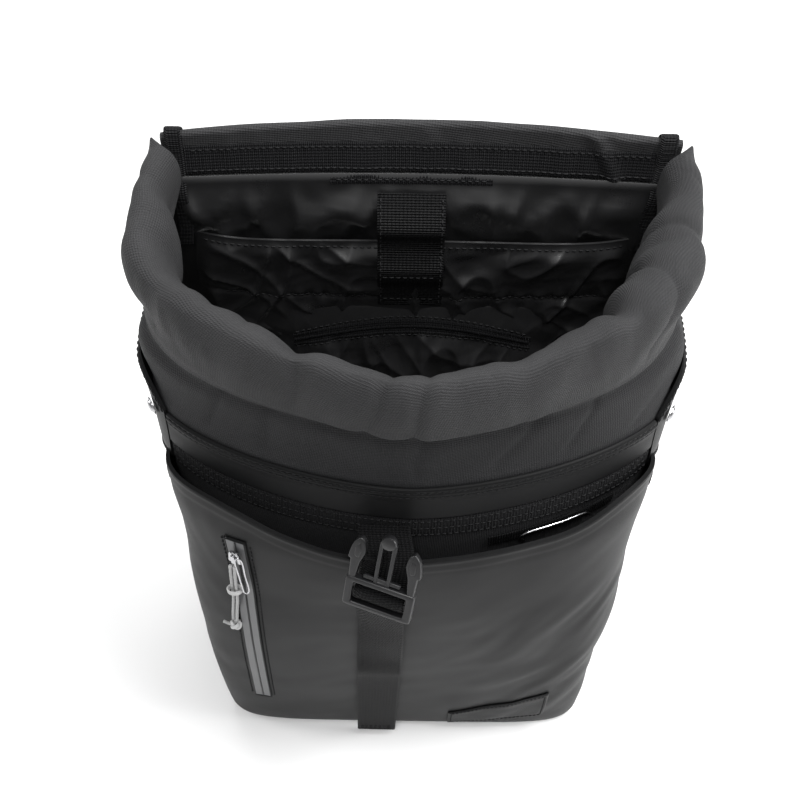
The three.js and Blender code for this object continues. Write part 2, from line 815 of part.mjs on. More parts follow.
// Wide inner strap that waves down over the sleeve. drop is the share of its
// height, wave its distance from the sleeve in shares of innerStrapWave.
const innerStrapShape = [
  { drop: 0.0, wave: -0.62 },
  { drop: 0.1, wave: 0.1 },
  { drop: 0.22, wave: 0.62 },
  { drop: 0.34, wave: 0.34 },
  { drop: 0.45, wave: 0.38 },
  { drop: 0.56, wave: 0.85 },
  { drop: 0.66, wave: 0.8 },
  { drop: 0.78, wave: 0.45 },
  { drop: 0.9, wave: 0.3 },
  { drop: 1.0, wave: 0.28 },
];
function innerStrap() {
  const line = innerStrapShape.map(({ drop, wave }) => {
    const height = innerStrapTop - drop * (innerStrapTop - innerStrapBottom);
    return new THREE.Vector3(innerStrapX, sleeveFront(0, height) - wave * innerStrapWave, height);
  });
  const points = smoothLine(line, 24);
  return ribbon(points, alongX, () => innerWebbing, webbingThickness);
}

// Backing patch under the foot of the inner strap, flat on the sleeve
function strapBacking() {
  const half = innerWebbing / 2 + backingMargin;
  const xs = spread(innerStrapX - half, innerStrapX + half, 4);
  const heights = spread(pouchTop + layerGap, innerStrapBottom + 26, 3);
  const face = (forward) => xs.map((x) => heights.map((height) => {
    return new THREE.Vector3(x, sleeveFront(x, height) - forward, height);
  }));
  return closedSheet(face(layerGap), face(layerGap + 0.8));
}

// Ribbed strip folded over the rim at a back corner
function cornerStrip(sign) {
  const x = sign * (collarHalf - cornerStripInset - cornerStripWidth / 2);
  const clear = layerGap + tapeCloth / 2 + 0.3;
  const inside = [1, 0.4, 0.05].map((share) => {
    const height = panelTop - cornerStripReach * share;
    return [liningBack(x, height) - liningCloth - clear, height];
  });
  const slope = [0.3, 0.7, 1.3].map((share) => {
    const height = panelTop + collarSlope * share;
    return [collarFront(x, height) - clear, height];
  });
  const top = bodyHeight + backCrown * 0.2 + 1.9;
  const over = [[collarFront(x, bodyHeight) + 0.6, top], [backFace - 0.6, top]];
  const outside = [2, 20].map((drop) => {
    const height = bodyHeight - drop;
    return [backFace + bow(x, height) + clear + 0.3, height];
  });
  const points = [...inside, ...slope, ...over, ...outside].map(([y, z]) => new THREE.Vector3(x, y, z));
  return ribbon(points, alongX, () => cornerStripWidth, tapeCloth);
}

// Buckle frame: the plug half hangs from the strap over the pocket's edge.
// In its own plane x runs across, y runs up to the prongs, z towards the viewer.
const bars = { low: 3, window: 8, mid: 11, upper: 17, head: 20.5 };
function bucklePlug() {
  const half = buckleWidth / 2;
  const opening = frontWebbing / 2 + 0.8;
  const frame = plate(
    rectangle(-half, half, 0, bars.head),
    buckleThickness,
    [rectangle(-opening, opening, bars.low, bars.upper)],
  );
  const midBar = plate(rectangle(-opening - 1, opening + 1, bars.window, bars.mid), 2.2);
  const prong = (side) => plate([
    [side * (half - 1), bars.head - 1],
    [side * (half - 0.6), 33],
    [side * (half + 1.2), 33.6],
    [side * (half - 0.6), 44],
    [side * (half - 5), 49],
    [side * (half - 8), 45],
    [side * (half - 9), 38],
    [side * (half - 5.5), 30],
    [side * (half - 5), bars.head - 1],
  ], 4.4);
  const guide = plate(
    rectangle(-5, 5, bars.head - 1, buckleLength - 4),
    3.4,
    [rectangle(-2.6, 2.6, bars.head + 1.4, buckleLength - 7)],
  );
  const knob = new THREE.CylinderGeometry(4.4, 4.4, 4.6, 16).rotateX(Math.PI / 2);
  knob.translate(0, buckleLength - 4, 0);
  return joined(frame, midBar, prong(-1), prong(1), guide, knob);
}

// Place of the buckle: its back rests on the webbing that lies on the pocket's edge
const lean = THREE.MathUtils.degToRad(buckleLean);
const yaw = THREE.MathUtils.degToRad(buckleYaw);
const buckleTurn = new THREE.Matrix4().makeRotationZ(-yaw).multiply(new THREE.Matrix4().makeBasis(
  new THREE.Vector3(1, 0, 0),
  new THREE.Vector3(0, Math.sin(lean), Math.cos(lean)),
  new THREE.Vector3(0, -Math.cos(lean), Math.sin(lean)),
));
const edgePoint = frontPoint(buckleX, pocketTop, (step, height) => pocketOut(step, height) + panelCloth);
const webbingStandoff = buckleThickness / 2 + layerGap + webbingThickness / 2;
const yawRoom = (buckleWidth / 2) * Math.sin(yaw) + 1;
const buckleCentre = edgePoint.clone().add(new THREE.Vector3(
  0,
  -Math.cos(lean),
  Math.sin(lean),
).multiplyScalar(webbingStandoff + webbingThickness / 2 + yawRoom));
const buckleMiddle = 27;
const onBuckle = (x, along, out) => new THREE.Vector3(x, along - buckleMiddle, out)
  .applyMatrix4(buckleTurn).add(buckleCentre);

// Front strap: sewn below the band, over the pocket's edge behind the plug, through
// the plug's frame and down as the free tail. The tail is listed by height as a share
// of pocketTop and by its distance in front of the pocket in shares of tailWave.
const tailWave = 10;
const tailShape = [
  { height: 0.8, wave: 1.15 },
  { height: 0.7, wave: 0.95 },
  { height: 0.6, wave: 0.8 },
  { height: 0.52, wave: 0.95 },
  { height: 0.47, wave: 0.75 },
  { height: 0.35, wave: 0.62 },
  { height: 0.2, wave: 0.66 },
  { height: 0.04, wave: 0.8 },
];
function frontStrap() {
  const back = -webbingStandoff;
  const bindingFace = frontPoint(buckleX, bindingTop - 5, () => layerGap + tapeCloth);
  const tail = tailShape.map(({ height, wave }) => {
    const z = height * pocketTop;
    const face = frontPoint(buckleX, z, (step, at) => pocketOut(step, at) + panelCloth);
    const x = tailFootX + (buckleX - tailFootX) * (z / buckleCentre.z);
    return new THREE.Vector3(x, face.y - wave * tailWave, z);
  });
  const behind = [27, 20, 17].map((along) => [along, back]);
  const throughWindow = [[14, -0.6], [11.4, 2.3], [9.5, 2.6], [7.6, 2.3], [5.6, -0.6]];
  const weave = [...behind, ...throughWindow, [3, back + 0.2], [0, back]];
  const points = [
    new THREE.Vector3(buckleX, bindingFace.y - 1.2, bindingFace.z),
    new THREE.Vector3(buckleX, bindingFace.y - 5, bindingFace.z - 0.5),
    onBuckle(0, 34, back - 0.6),
    ...weave.map(([along, out]) => onBuckle(0, along, out)),
    ...tail,
  ];
  const turned = (share, point) => {
    const above = THREE.MathUtils.smoothstep(-point.y, -bindingFace.y + 4, -buckleCentre.y - 6);
    const below = THREE.MathUtils.smoothstep(point.z, tail[3].z, tail[0].z);
    const turn = -yaw * Math.min(above, below);
    return new THREE.Vector3(Math.cos(turn), Math.sin(turn), 0);
  };
  return ribbon(smoothLine(points, 48), turned, () => frontWebbing, webbingThickness);
}

// Key strap and wire hook inside the pocket's mouth
const keyStrapSlope = 0.06;
const keyStrapOut = layerGap + 0.6;
function keyStrap() {
  const xs = spread(keyStrapLeft, keyStrapRight, 6);
  const heightAt = (x) => pocketTop - keyStrapDrop + (x - keyStrapLeft) * keyStrapSlope;
  const face = (outward) => xs.map((x) => [0, keyStrapWidth].map((rise) => {
    return frontPoint(x, heightAt(x) + rise, () => outward);
  }));
  return closedSheet(face(keyStrapOut + webbingThickness), face(keyStrapOut));
}

// Bend of the hook: across from the strap's left end, drop below the pocket's
// edge, and lift off the strap
const hookBend = [
  { across: 20, drop: 13, lift: 0 },
  { across: 17, drop: 8, lift: 1 },
  { across: 20, drop: 3, lift: 2 },
  { across: 30, drop: 2, lift: 2 },
  { across: 42, drop: 2.4, lift: 1.6 },
  { across: 54, drop: 4, lift: 0.6 },
  { across: 58, drop: 8, lift: 0.2 },
];
function keyHook() {
  const clear = keyStrapOut + webbingThickness + layerGap + hookWire / 2;
  const points = hookBend.map(({ across, drop, lift }) => {
    return frontPoint(keyStrapLeft + across, pocketTop - drop, () => clear + lift);
  });
  return wire(points, hookWire, 8, 20);
}

// Zip strip on the left of the pocket, slanting from its top down to its foot
function zipStrip() {
  const rows = spread(0, 1, 9);
  const face = (outward) => [-0.5, 0, 0.5].map((side) => rows.map((share) => {
    const z = zipFoot + (zipTop - zipFoot) * share;
    const x = zipFootX + (zipTopX - zipFootX) * share + side * zipWidth;
    return onPocket(x, z, outward);
  }));
  return closedSheet(face(layerGap + 0.3 + zipCloth), face(layerGap + 0.3));
}

// Point at a distance in front of the pocket panel's outer face
function onPocket(x, z, outward) {
  return frontPoint(x, z, (step, height) => pocketOut(step, height) + panelCloth + outward);
}

const zipFace = layerGap + 0.3 + zipCloth;
const sliderLevel = zipTop - sliderDrop;
const sliderCentre = onPocket(zipTopX - 2, sliderLevel, zipFace + layerGap + 1.4);

// Turn and place of a piece that lies flat on the pocket panel
function flatOnPocket(centre, x, z) {
  const right = onPocket(x + 4, z, 0).sub(onPocket(x - 4, z, 0)).normalize();
  const up = onPocket(x, z + 6, 0).sub(onPocket(x, z - 6, 0)).normalize();
  const normal = right.clone().cross(up).normalize();
  const matrix = new THREE.Matrix4().makeBasis(right, normal.clone().cross(right), normal);
  return matrix.setPosition(centre);
}

// Slider body: a small block with a raised bridge, on the zip strip
function zipSlider() {
  const base = plate([[-4, -5], [4, -5], [3, 5], [-3, 5]], 2);
  const bridge = plate(rectangle(-1.2, 1.2, -3.6, 3.6), 1.6).translate(0, 0, 1.6);
  return joined(base, bridge).applyMatrix4(flatOnPocket(sliderCentre, zipTopX, sliderLevel));
}

// Long thin wire puller that hangs from the slider
function zipPuller() {
  const centre = onPocket(zipTopX + 0.8, sliderLevel, zipFace + layerGap + 3.9);
  const top = 3;
  const foot = top - pullerLength;
  const half = pullerHalf;
  const inside = half - pullerWire;
  const outline = [
    [-half, foot + 2],
    [0, foot],
    [half, foot + 2],
    [half, top - 1],
    [0, top],
    [-half, top - 1],
  ];
  const hole = [
    [-inside, foot + 2.6],
    [0, foot + 1.6],
    [inside, foot + 2.6],
    [inside, top - 2],
    [0, top - 1.4],
    [-inside, top - 2],
  ];
  const loop = plate(outline, pullerWire, [hole]);
  return loop.applyMatrix4(flatOnPocket(centre, zipTopX, sliderLevel - 16));
}

// Pull cord: two strands from the slider to the knot, as offsets from the slider
const pullCordLeft = [
  [-3.5, -2.3, -6.7],
  [-4.7, -2.9, -16.0],
  [-5.9, -3.1, -26.0],
  [-6.9, -3.2, -36.0],
  [-8.1, -3.1, -48.0],
  [-9.7, -2.9, -60.0],
  [-11.3, -3.0, -72.0],
  [-12.2, -3.2, -80.4],
];
const pullCordRight = [
  [-0.9, -3.1, -6.7],
  [-2.1, -3.9, -16.0],
  [-3.3, -4.3, -26.0],
  [-4.3, -4.4, -36.0],
  [-5.5, -4.4, -48.0],
  [-7.1, -4.2, -60.0],
  [-8.7, -4.2, -72.0],
  [-9.6, -4.3, -80.4],
];
const cordSteps = 14;
const cordPoint = (offset) => sliderCentre.clone().add(new THREE.Vector3(...offset));
function pullCord(offsets) {
  return wire(offsets.map(cordPoint), pullCordDiameter, 8, cordSteps);
}

// Point halfway between the two strands at one place of their lists
function betweenStrands(place) {
  return cordPoint(pullCordLeft[place]).lerp(cordPoint(pullCordRight[place]), 0.5);
}

// Collar that gathers the two strands, a short sleeve round both
function cordCollar() {
  const oval = (x, y) => stepRange(0, 11).map((index) => {
    const angle = (Math.PI * index) / 6;
    return [x * Math.cos(angle), y * Math.sin(angle)];
  });
  const centre = betweenStrands(3);
  const ring = plate(oval(5, 3.5), 4.5, [oval(3.7, 2.4)]);
  return ring.translate(centre.x, centre.y, centre.z);
}

// End knot with the short tail of the cord
function cordKnot() {
  const drop = knotRadius + pullCordDiameter / 4 + layerGap;
  const centre = betweenStrands(pullCordLeft.length - 1).add(new THREE.Vector3(0, -1.4, -drop));
  const ball = new THREE.SphereGeometry(knotRadius, 12, 8).translate(centre.x, centre.y, centre.z);
  const tailEnd = centre.clone().add(new THREE.Vector3(-8.5, 1.4, 1.5));
  const middle = centre.clone().lerp(tailEnd, 0.5).setZ(centre.z - 0.6);
  return joined(ball, wire([centre, middle, tailEnd], pullCordDiameter, 8, 4));
}

// Label patch, sewn bare near the foot of the pocket panel and rising to the right
function labelPatch() {
  const face = (outward) => spread(0, 1, 6).map((across) => spread(0, 1, 3).map((up) => {
    const height = (labelHeight + labelGrowth * across) * up;
    return onPocket(labelLeft + labelWidth * across, labelFoot + labelRise * across + height, outward);
  }));
  return closedSheet(face(layerGap + 1.5), face(layerGap + 0.3));
}

// Snap cap, a low dome on the side tab
function snap(sign) {
  const radius = snapDiameter / 2;
  const profile = [
    new THREE.Vector2(0, 0),
    new THREE.Vector2(radius, 0),
    new THREE.Vector2(radius, snapHeight * 0.35),
    new THREE.Vector2(radius * 0.8, snapHeight * 0.73),
    new THREE.Vector2(radius * 0.4, snapHeight),
    new THREE.Vector2(0, snapHeight),
  ];
  const geometry = new THREE.LatheGeometry(profile, 20);
  const step = (sign < 0 ? snapPlace : 1 - snapPlace) * pathSteps;
  const centre = wallPoint(step, snapLevel, tabGap + bandCloth + layerGap + 0.4);
  const normal = centre.clone().sub(wallPoint(step, snapLevel, 0)).normalize();
  const turn = new THREE.Quaternion().setFromUnitVectors(new THREE.Vector3(0, 1, 0), normal);
  geometry.applyQuaternion(turn);
  return geometry.translate(centre.x, centre.y, centre.z);
}

// Shoulder strap: height as a share of strapTop, place as a share of half the
// width, stand-off from the back as a share of strapArch, and width as a share
// between the two strap widths.
const strapLine = [
  { height: 1.0, place: 0.36, standoff: 0.0, widen: 0.0 },
  { height: 0.956, place: 0.365, standoff: 0.3, widen: 0.05 },
  { height: 0.867, place: 0.375, standoff: 0.78, widen: 0.2 },
  { height: 0.756, place: 0.4, standoff: 1.0, widen: 0.4 },
  { height: 0.622, place: 0.45, standoff: 0.95, widen: 0.6 },
  { height: 0.5, place: 0.52, standoff: 0.7, widen: 0.8 },
  { height: 0.4, place: 0.6, standoff: 0.45, widen: 1.0 },
];
const backAt = (x, height) => backFace + bow(x, height);

function shoulderStrap(sign) {
  const rows = 14;
  const heights = spread(strapLine[strapLine.length - 1].height, strapLine[0].height, rows);
  const rising = [...strapLine].reverse();
  const acrossShares = [-0.5, -0.42, 0, 0.42, 0.5];
  const pinch = [0.45, 0.9, 1, 0.9, 0.45];
  const face = (out) => acrossShares.map((share, column) => heights.map((height, row) => {
    const read = (name) => readTable(rising, "height", name, height);
    const width = strapTopWidth + (strapLowWidth - strapTopWidth) * read("widen");
    const x = sign * (read("place") * (baseWidth / 2)) + share * width;
    const z = height * strapTop;
    const end = row === 0 || row === rows ? 0.6 : 1;
    const middle = backAt(x, z) + strapClear + strapPad / 2 + read("standoff") * strapArch;
    return new THREE.Vector3(x, middle + (out * pinch[column] * end * strapPad) / 2, z);
  }));
  return closedSheet(face(1), face(-1));
}

const strapFoot = strapLine[strapLine.length - 1];
function adjusterCentre(sign) {
  const z = strapFoot.height * strapTop - layerGap - adjusterHeight / 2;
  const x = sign * (strapFoot.place * (baseWidth / 2) + 3);
  const y = backAt(x, z) + strapClear + strapPad / 2 + strapFoot.standoff * strapArch;
  return new THREE.Vector3(x, y, z);
}

// Ladder adjuster between the padded strap and its lower webbing
function strapAdjuster(sign) {
  const opening = strapWebbing / 2 + 0.8;
  const low = -adjusterHeight / 2;
  const frame = plate(
    rectangle(-adjusterHalf, adjusterHalf, low, -low),
    adjusterDepth,
    [rectangle(-opening, opening, low + 3, -2), rectangle(-opening, opening, 2, -low - 3)],
  );
  frame.rotateX(Math.PI / 2);
  const centre = adjusterCentre(sign);
  return frame.translate(centre.x, centre.y, centre.z);
}

// Lower webbing from the adjuster to the foot of the back panel
function lowerStrap(sign) {
  const top = adjusterCentre(sign);
  const clear = layerGap + webbingThickness / 2;
  const footX = sign * (baseWidth / 2 - lowerStrapInset);
  const line = [
    new THREE.Vector3(top.x, top.y + adjusterDepth / 2 + clear, top.z + 8),
    new THREE.Vector3(top.x + sign * 1.5, top.y + adjusterDepth / 2 + clear, top.z - 14),
    new THREE.Vector3(top.x + sign * 9, top.y - 3, (top.z + lowerStrapFoot) / 2),
    new THREE.Vector3(footX - sign * 5, backFace + clear + 1.4, lowerStrapFoot + 20),
    new THREE.Vector3(footX, backFace + clear + 0.3, lowerStrapFoot),
  ];
  return ribbon(smoothLine(line, 16), alongX, () => strapWebbing, webbingThickness);
}

// Haul handle at the top of the back, its webbing standing on edge
const handleShape = [
  { across: 0.8, lift: 0.35 },
  { across: 0.45, lift: 0.85 },
  { across: 0, lift: 1 },
];
function grabHandle() {
  const place = (x, lift) => {
    const y = backAt(x, handleLevel) + layerGap + handleThickness / 2 + 0.8 + handleDepth * lift;
    return new THREE.Vector3(x, y, handleLevel);
  };
  const left = handleShape.map(({ across, lift }) => place(-handleHalf * across, lift));
  const returning = handleShape.slice(0, -1).reverse();
  const right = returning.map(({ across, lift }) => place(handleHalf * across, lift));
  const line = [
    place(-handleHalf - 8, 0),
    place(-handleHalf, 0),
    ...left,
    ...right,
    place(handleHalf, 0),
    place(handleHalf + 8, 0),
  ];
  return ribbon(smoothLine(line, 24), alongZ, () => handleWebbing, handleThickness);
}

// Closing strap that hangs down the back, with the plain socket half at its end:
// along is the share of its length, out its distance from the back
const closingShape = [
  { along: 0, out: 0.5 },
  { along: 0.18, out: 0.9 },
  { along: 0.38, out: 1.6 },
  { along: 0.58, out: 2.6 },
  { along: 0.997, out: 3.6 },
];
function closingStrap() {
  const clear = layerGap + webbingThickness / 2;
  const line = closingShape.map(({ along, out }) => {
    const z = closingTop - along * closingLength;
    return new THREE.Vector3(0, backAt(0, z) + clear + out, z);
  });
  return ribbon(smoothLine(line, 12), alongX, () => frontWebbing, webbingThickness);
}

function buckleSocket() {
  const half = buckleWidth / 2;
  const wall = 4;
  const bevel = 3;
  const mouthDepth = 24;
  const mouthGap = 5.4;
  const outline = [
    [-half + bevel, 0],
    [half - bevel, 0],
    [half, wall],
    [half, socketLength],
    [-half, socketLength],
    [-half, wall],
  ];
  const cut = plate(rectangle(-half + wall, half - wall, -1, mouthDepth), mouthGap);
  const geometry = fromManifold(toManifold(plate(outline, socketDepth)).subtract(toManifold(cut)));
  geometry.rotateX(Math.PI / 2);
  const z = socketTop - socketLength;
  return geometry.translate(0, backAt(0, z) + socketDepth / 2 + layerGap + 0.6, z);
}

const stripHalf = collarHalf - cornerStripInset - cornerStripWidth - layerGap;
const rimTape = collarStrip(-stripHalf, stripHalf, rimTapeBottom, rimTapeTop, layerGap, tapeCloth);
const patchFoot = panelTop + layerGap / 2;
const patchTop = rimTapeBottom - layerGap;
const rimPatch = collarStrip(rimPatchLeft, rimPatchRight, patchFoot, patchTop, layerGap, tapeCloth);
const bandHeights = () => [bindingTop + layerGap, bandTop];
const bindingHeights = () => [bindingBottom, bindingTop];

addPiece("base_panel", basePanel(), coatedFabric);
addPiece("body_wall", bodyWall(), outerFabric);
addPiece("pocket_panel", pocketPanel(), coatedFabric);
addPiece("front_band", layerOnWall(bandSteps, bandHeights, layerGap, bandCloth), coatedFabric);
addPiece("front_binding", layerOnWall(bandSteps, bindingHeights, layerGap, tapeCloth), blackWebbing);
addPiece("side_tab_left", layerOnWall(leftTabSteps, tabHeights, tabGap, bandCloth), coatedFabric);
addPiece("side_tab_right", layerOnWall(rightTabSteps, tabHeights, tabGap, bandCloth), coatedFabric);
addPiece("snap_left", snap(-1), chromedMetal);
addPiece("snap_right", snap(1), chromedMetal);
addPiece("collar_roll", collarRoll(), outerFabric);
addPiece("back_panel", backPanel(), outerFabric);
addPiece("back_collar", backCollar(), outerFabric);
addPiece("rim_tape", rimTape, blackWebbing);
addPiece("rim_patch", rimPatch, blackWebbing);
addPiece("corner_strip_left", cornerStrip(-1), blackWebbing);
addPiece("corner_strip_right", cornerStrip(1), blackWebbing);
addPiece("lining", lining(), satinLining);
addPiece("laptop_sleeve", laptopSleeve(), satinLining);
addPiece("inner_pouch", innerPouch(), satinLining);
addPiece("inner_zip", innerZip(), blackWebbing);
addPiece("inner_strap", innerStrap(), blackWebbing);
addPiece("strap_backing", strapBacking(), satinLining);
addPiece("front_strap", frontStrap(), blackWebbing);
const plug = addPiece("buckle_plug", bucklePlug().translate(0, -buckleMiddle, 0), blackPlastic);
plug.applyMatrix4(buckleTurn);
plug.position.copy(buckleCentre);
addPiece("key_strap", keyStrap(), blackWebbing);
addPiece("key_hook", keyHook(), chromedMetal);
addPiece("front_zip", zipStrip(), zipTape);
addPiece("zip_slider", zipSlider(), chromedMetal);
addPiece("zip_puller", zipPuller(), chromedMetal);
addPiece("pull_cord_left", pullCord(pullCordLeft), cordFibre);
addPiece("pull_cord_right", pullCord(pullCordRight), cordFibre);
addPiece("cord_collar", cordCollar(), cordFibre);
addPiece("cord_knot", cordKnot(), cordFibre);
addPiece("label_patch", labelPatch(), coatedFabric);
addPiece("shoulder_strap_left", shoulderStrap(-1), outerFabric);
addPiece("shoulder_strap_right", shoulderStrap(1), outerFabric);
addPiece("strap_adjuster_left", strapAdjuster(-1), blackPlastic);
addPiece("strap_adjuster_right", strapAdjuster(1), blackPlastic);
addPiece("lower_strap_left", lowerStrap(-1), blackWebbing);
addPiece("lower_strap_right", lowerStrap(1), blackWebbing);
addPiece("grab_handle", grabHandle(), blackWebbing);
addPiece("closing_strap", closingStrap(), blackWebbing);
addPiece("buckle_socket", buckleSocket(), blackPlastic);

export default backpack;
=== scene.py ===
# %% [markdown]
# # Rolltop backpack
#
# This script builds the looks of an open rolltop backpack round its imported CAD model.
# Each cell makes one group of pieces and prints what it made.
#
# All sizes in the tables are in millimetres, as in the CAD. They become metres only at
# the moment when a mesh is made.

import math

import bpy
import numpy as np
from mathutils import Matrix, Vector


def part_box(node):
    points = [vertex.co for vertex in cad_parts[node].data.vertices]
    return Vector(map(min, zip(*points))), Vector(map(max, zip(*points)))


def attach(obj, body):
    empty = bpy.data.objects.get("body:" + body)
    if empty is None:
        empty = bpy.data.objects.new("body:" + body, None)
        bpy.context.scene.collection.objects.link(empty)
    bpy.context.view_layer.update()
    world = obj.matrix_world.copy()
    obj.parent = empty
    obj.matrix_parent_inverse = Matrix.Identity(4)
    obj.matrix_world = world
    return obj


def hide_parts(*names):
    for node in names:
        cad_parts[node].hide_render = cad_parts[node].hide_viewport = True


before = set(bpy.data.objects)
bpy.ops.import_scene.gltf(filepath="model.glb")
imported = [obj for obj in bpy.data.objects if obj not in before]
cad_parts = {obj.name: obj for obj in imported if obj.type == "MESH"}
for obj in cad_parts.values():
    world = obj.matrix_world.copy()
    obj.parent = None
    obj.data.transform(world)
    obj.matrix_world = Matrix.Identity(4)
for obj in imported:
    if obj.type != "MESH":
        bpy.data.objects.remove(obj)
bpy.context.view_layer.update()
MM = 0.001
print("nodes in the frame:", len(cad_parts))

# %% [markdown]
# ## Camera
#
# The camera stands in front of the bag and looks down into it by about 53 degrees. Its
# place was found by matching the corners of the base, the rim and the band. A roll of
# less than one degree brings the base level.

# %% Camera
CAMERA = {"place": (-6.8, -357.1, 816.4), "tilt": 53.15, "roll": 0.9, "lens": 45.0}


def make_camera():
    tilt, roll = math.radians(CAMERA["tilt"]), math.radians(CAMERA["roll"])
    right = Vector((1, 0, 0))
    up = Vector((0, math.sin(tilt), math.cos(tilt)))
    back = Vector((0, -math.cos(tilt), math.sin(tilt)))
    turned_right = right * math.cos(roll) + up * math.sin(roll)
    turned_up = up * math.cos(roll) - right * math.sin(roll)
    camera = bpy.data.objects.new("camera", bpy.data.cameras.new("camera"))
    camera.data.sensor_width = 36.0
    camera.data.lens = CAMERA["lens"]
    camera.data.clip_start, camera.data.clip_end = 0.01, 20
    turn = Matrix((turned_right, turned_up, back)).transposed().to_4x4()
    camera.matrix_world = Matrix.Translation(Vector(CAMERA["place"]) * MM) @ turn
    bpy.context.scene.collection.objects.link(camera)
    bpy.context.scene.camera = camera
    return camera


camera = make_camera()
print("camera at", tuple(round(x, 3) for x in camera.matrix_world.translation))

# %% [markdown]
# ## Sizes and tables
#
# These are the CAD's own sizes. Every surface of the bag is read from the same few
# tables, so a layer of cloth that is made here lies where its CAD node lies.
#
# `WALL_ROWS` is the plan outline by height. `half` and `back_half` are shares of half
# the wall's width, `front` and `corner` are shares of half its depth, and `square` is
# the exponent of the front curve.

# %% Sizes and tables
BASE_WIDTH, BASE_DEPTH, BODY_HEIGHT = 285.0, 154.0, 474.0
WALL_CLOTH, PANEL_CLOTH, LINING_CLOTH, ROLL_CLOTH, LAYER_GAP = 2.2, 2.2, 1.2, 2.4, 0.4
BASE_PLATE, BACK_PADDING, COLLAR_CLOTH, COLLAR_SLOPE = 4.0, 12.0, 5.0, 20.0
PANEL_TOP = BODY_HEIGHT - 28
BACK_BOW, BOW_START, BACK_CROWN = 9.0, BODY_HEIGHT - 174, 4.0
POCKET_TOP = BODY_HEIGHT - 173
POCKET_BULGE, POCKET_MOUTH_END = 15.5, 0.165
BINDING_BOTTOM = POCKET_TOP + 1
BINDING_TOP = BINDING_BOTTOM + 16
BAND_TOP = BINDING_TOP + 25
BAND_END, TAB_GAP, BAND_CLOTH, TAPE_CLOTH = 0.178, 0.6, 2.0, 1.2
TAB_TOP = BAND_TOP + 42
SNAP_PLACE, SNAP_LEVEL = 0.15, BAND_TOP - 5
SLEEVE_TOP, SLEEVE_BOTTOM = BODY_HEIGHT - 59, 12.0
SLEEVE_HALF, SLEEVE_STANDOFF = BASE_WIDTH / 2 - 18.5, 9.0
POUCH_TOP = SLEEVE_TOP - 49
POUCH_BOTTOM = POUCH_TOP - 151
POUCH_HALF, POUCH_DEPTH = 92.0, 16.0
INNER_ZIP_HALF, INNER_ZIP_RISE, INNER_ZIP_DROP = 72.0, 14.0, 30.0
WALL_HALF = BASE_WIDTH / 2 - PANEL_CLOTH - LAYER_GAP
WALL_FRONT = BASE_DEPTH / 2 - PANEL_CLOTH - LAYER_GAP
BACK_FACE = BASE_DEPTH / 2
SIDE_END = BACK_FACE - BACK_PADDING - LAYER_GAP
WALL_FOOT = BASE_PLATE + LAYER_GAP
ROLL_WIDTH, COLLAR_DROP = 35.0, 82.5

WALL_COLUMNS = ("height", "half", "front", "corner", "back_half", "square")
WALL_ROWS = [
    (0.0, 0.985, 0.975, -0.47, 0.985, 6.0),
    (0.025, 1.0, 1.0, -0.47, 1.0, 5.5),
    (0.127, 1.005, 0.998, -0.44, 1.0, 4.6),
    (0.316, 1.02, 0.998, -0.31, 1.005, 3.0),
    (0.485, 1.03, 0.985, -0.13, 1.01, 2.1),
    (0.64, 1.043, 0.935, 0.03, 1.02, 1.75),
    (0.724, 1.047, 0.845, 0.065, 1.03, 1.65),
    (0.835, 1.065, 0.833, 0.12, 1.035, 1.65),
    (1.0, 1.05, 0.81, 0.16, 1.015, 1.65),
]
ROLL_COLUMNS = ("along", "crease", "crest", "over", "width")
ROLL_ROWS = [
    (0.0, 0.333, 0, 0.06, 0.2),
    (0.04, 0.46, 0.023, 0.14, 0.45),
    (0.09, 0.661, 0.086, 0.19, 0.78),
    (0.14, 0.804, 0.155, 0.22, 0.9),
    (0.2, 0.908, 0.241, 0.24, 0.92),
    (0.28, 0.954, 0.316, 0.3, 0.97),
    (0.38, 0.977, 0.379, 0.42, 0.98),
    (0.5, 1, 0.414, 0.55, 1.0),
    (0.62, 0.977, 0.391, 0.46, 1.0),
    (0.72, 0.954, 0.327, 0.34, 1.03),
    (0.8, 0.908, 0.253, 0.26, 1.2),
    (0.86, 0.804, 0.172, 0.23, 1.3),
    (0.91, 0.661, 0.092, 0.19, 1.05),
    (0.96, 0.46, 0.023, 0.14, 0.5),
    (1.0, 0.333, 0, 0.06, 0.2),
]
ROLL_SECTION = [
    (0.1, 0.13),
    (0.02, 0.3),
    (0.0, 0.5),
    (0.09, 0.75),
    (0.28, 0.94),
    (0.5, 1.0),
    (0.72, 0.94),
    (0.91, 0.76),
    (1.0, 0.5),
    (0.98, 0.22),
    (0.9, 0.02),
]
POCKET_COLUMNS = ("height", "bulge")
POCKET_ROWS = [
    (0.0, 0.0),
    (0.05, 0.05),
    (0.2, 0.27),
    (0.5, 0.6),
    (0.78, 0.87),
    (0.95, 1.0),
    (1.0, 0.97),
]
print("rim at", BODY_HEIGHT, "pocket edge at", POCKET_TOP, "band top at", BAND_TOP)
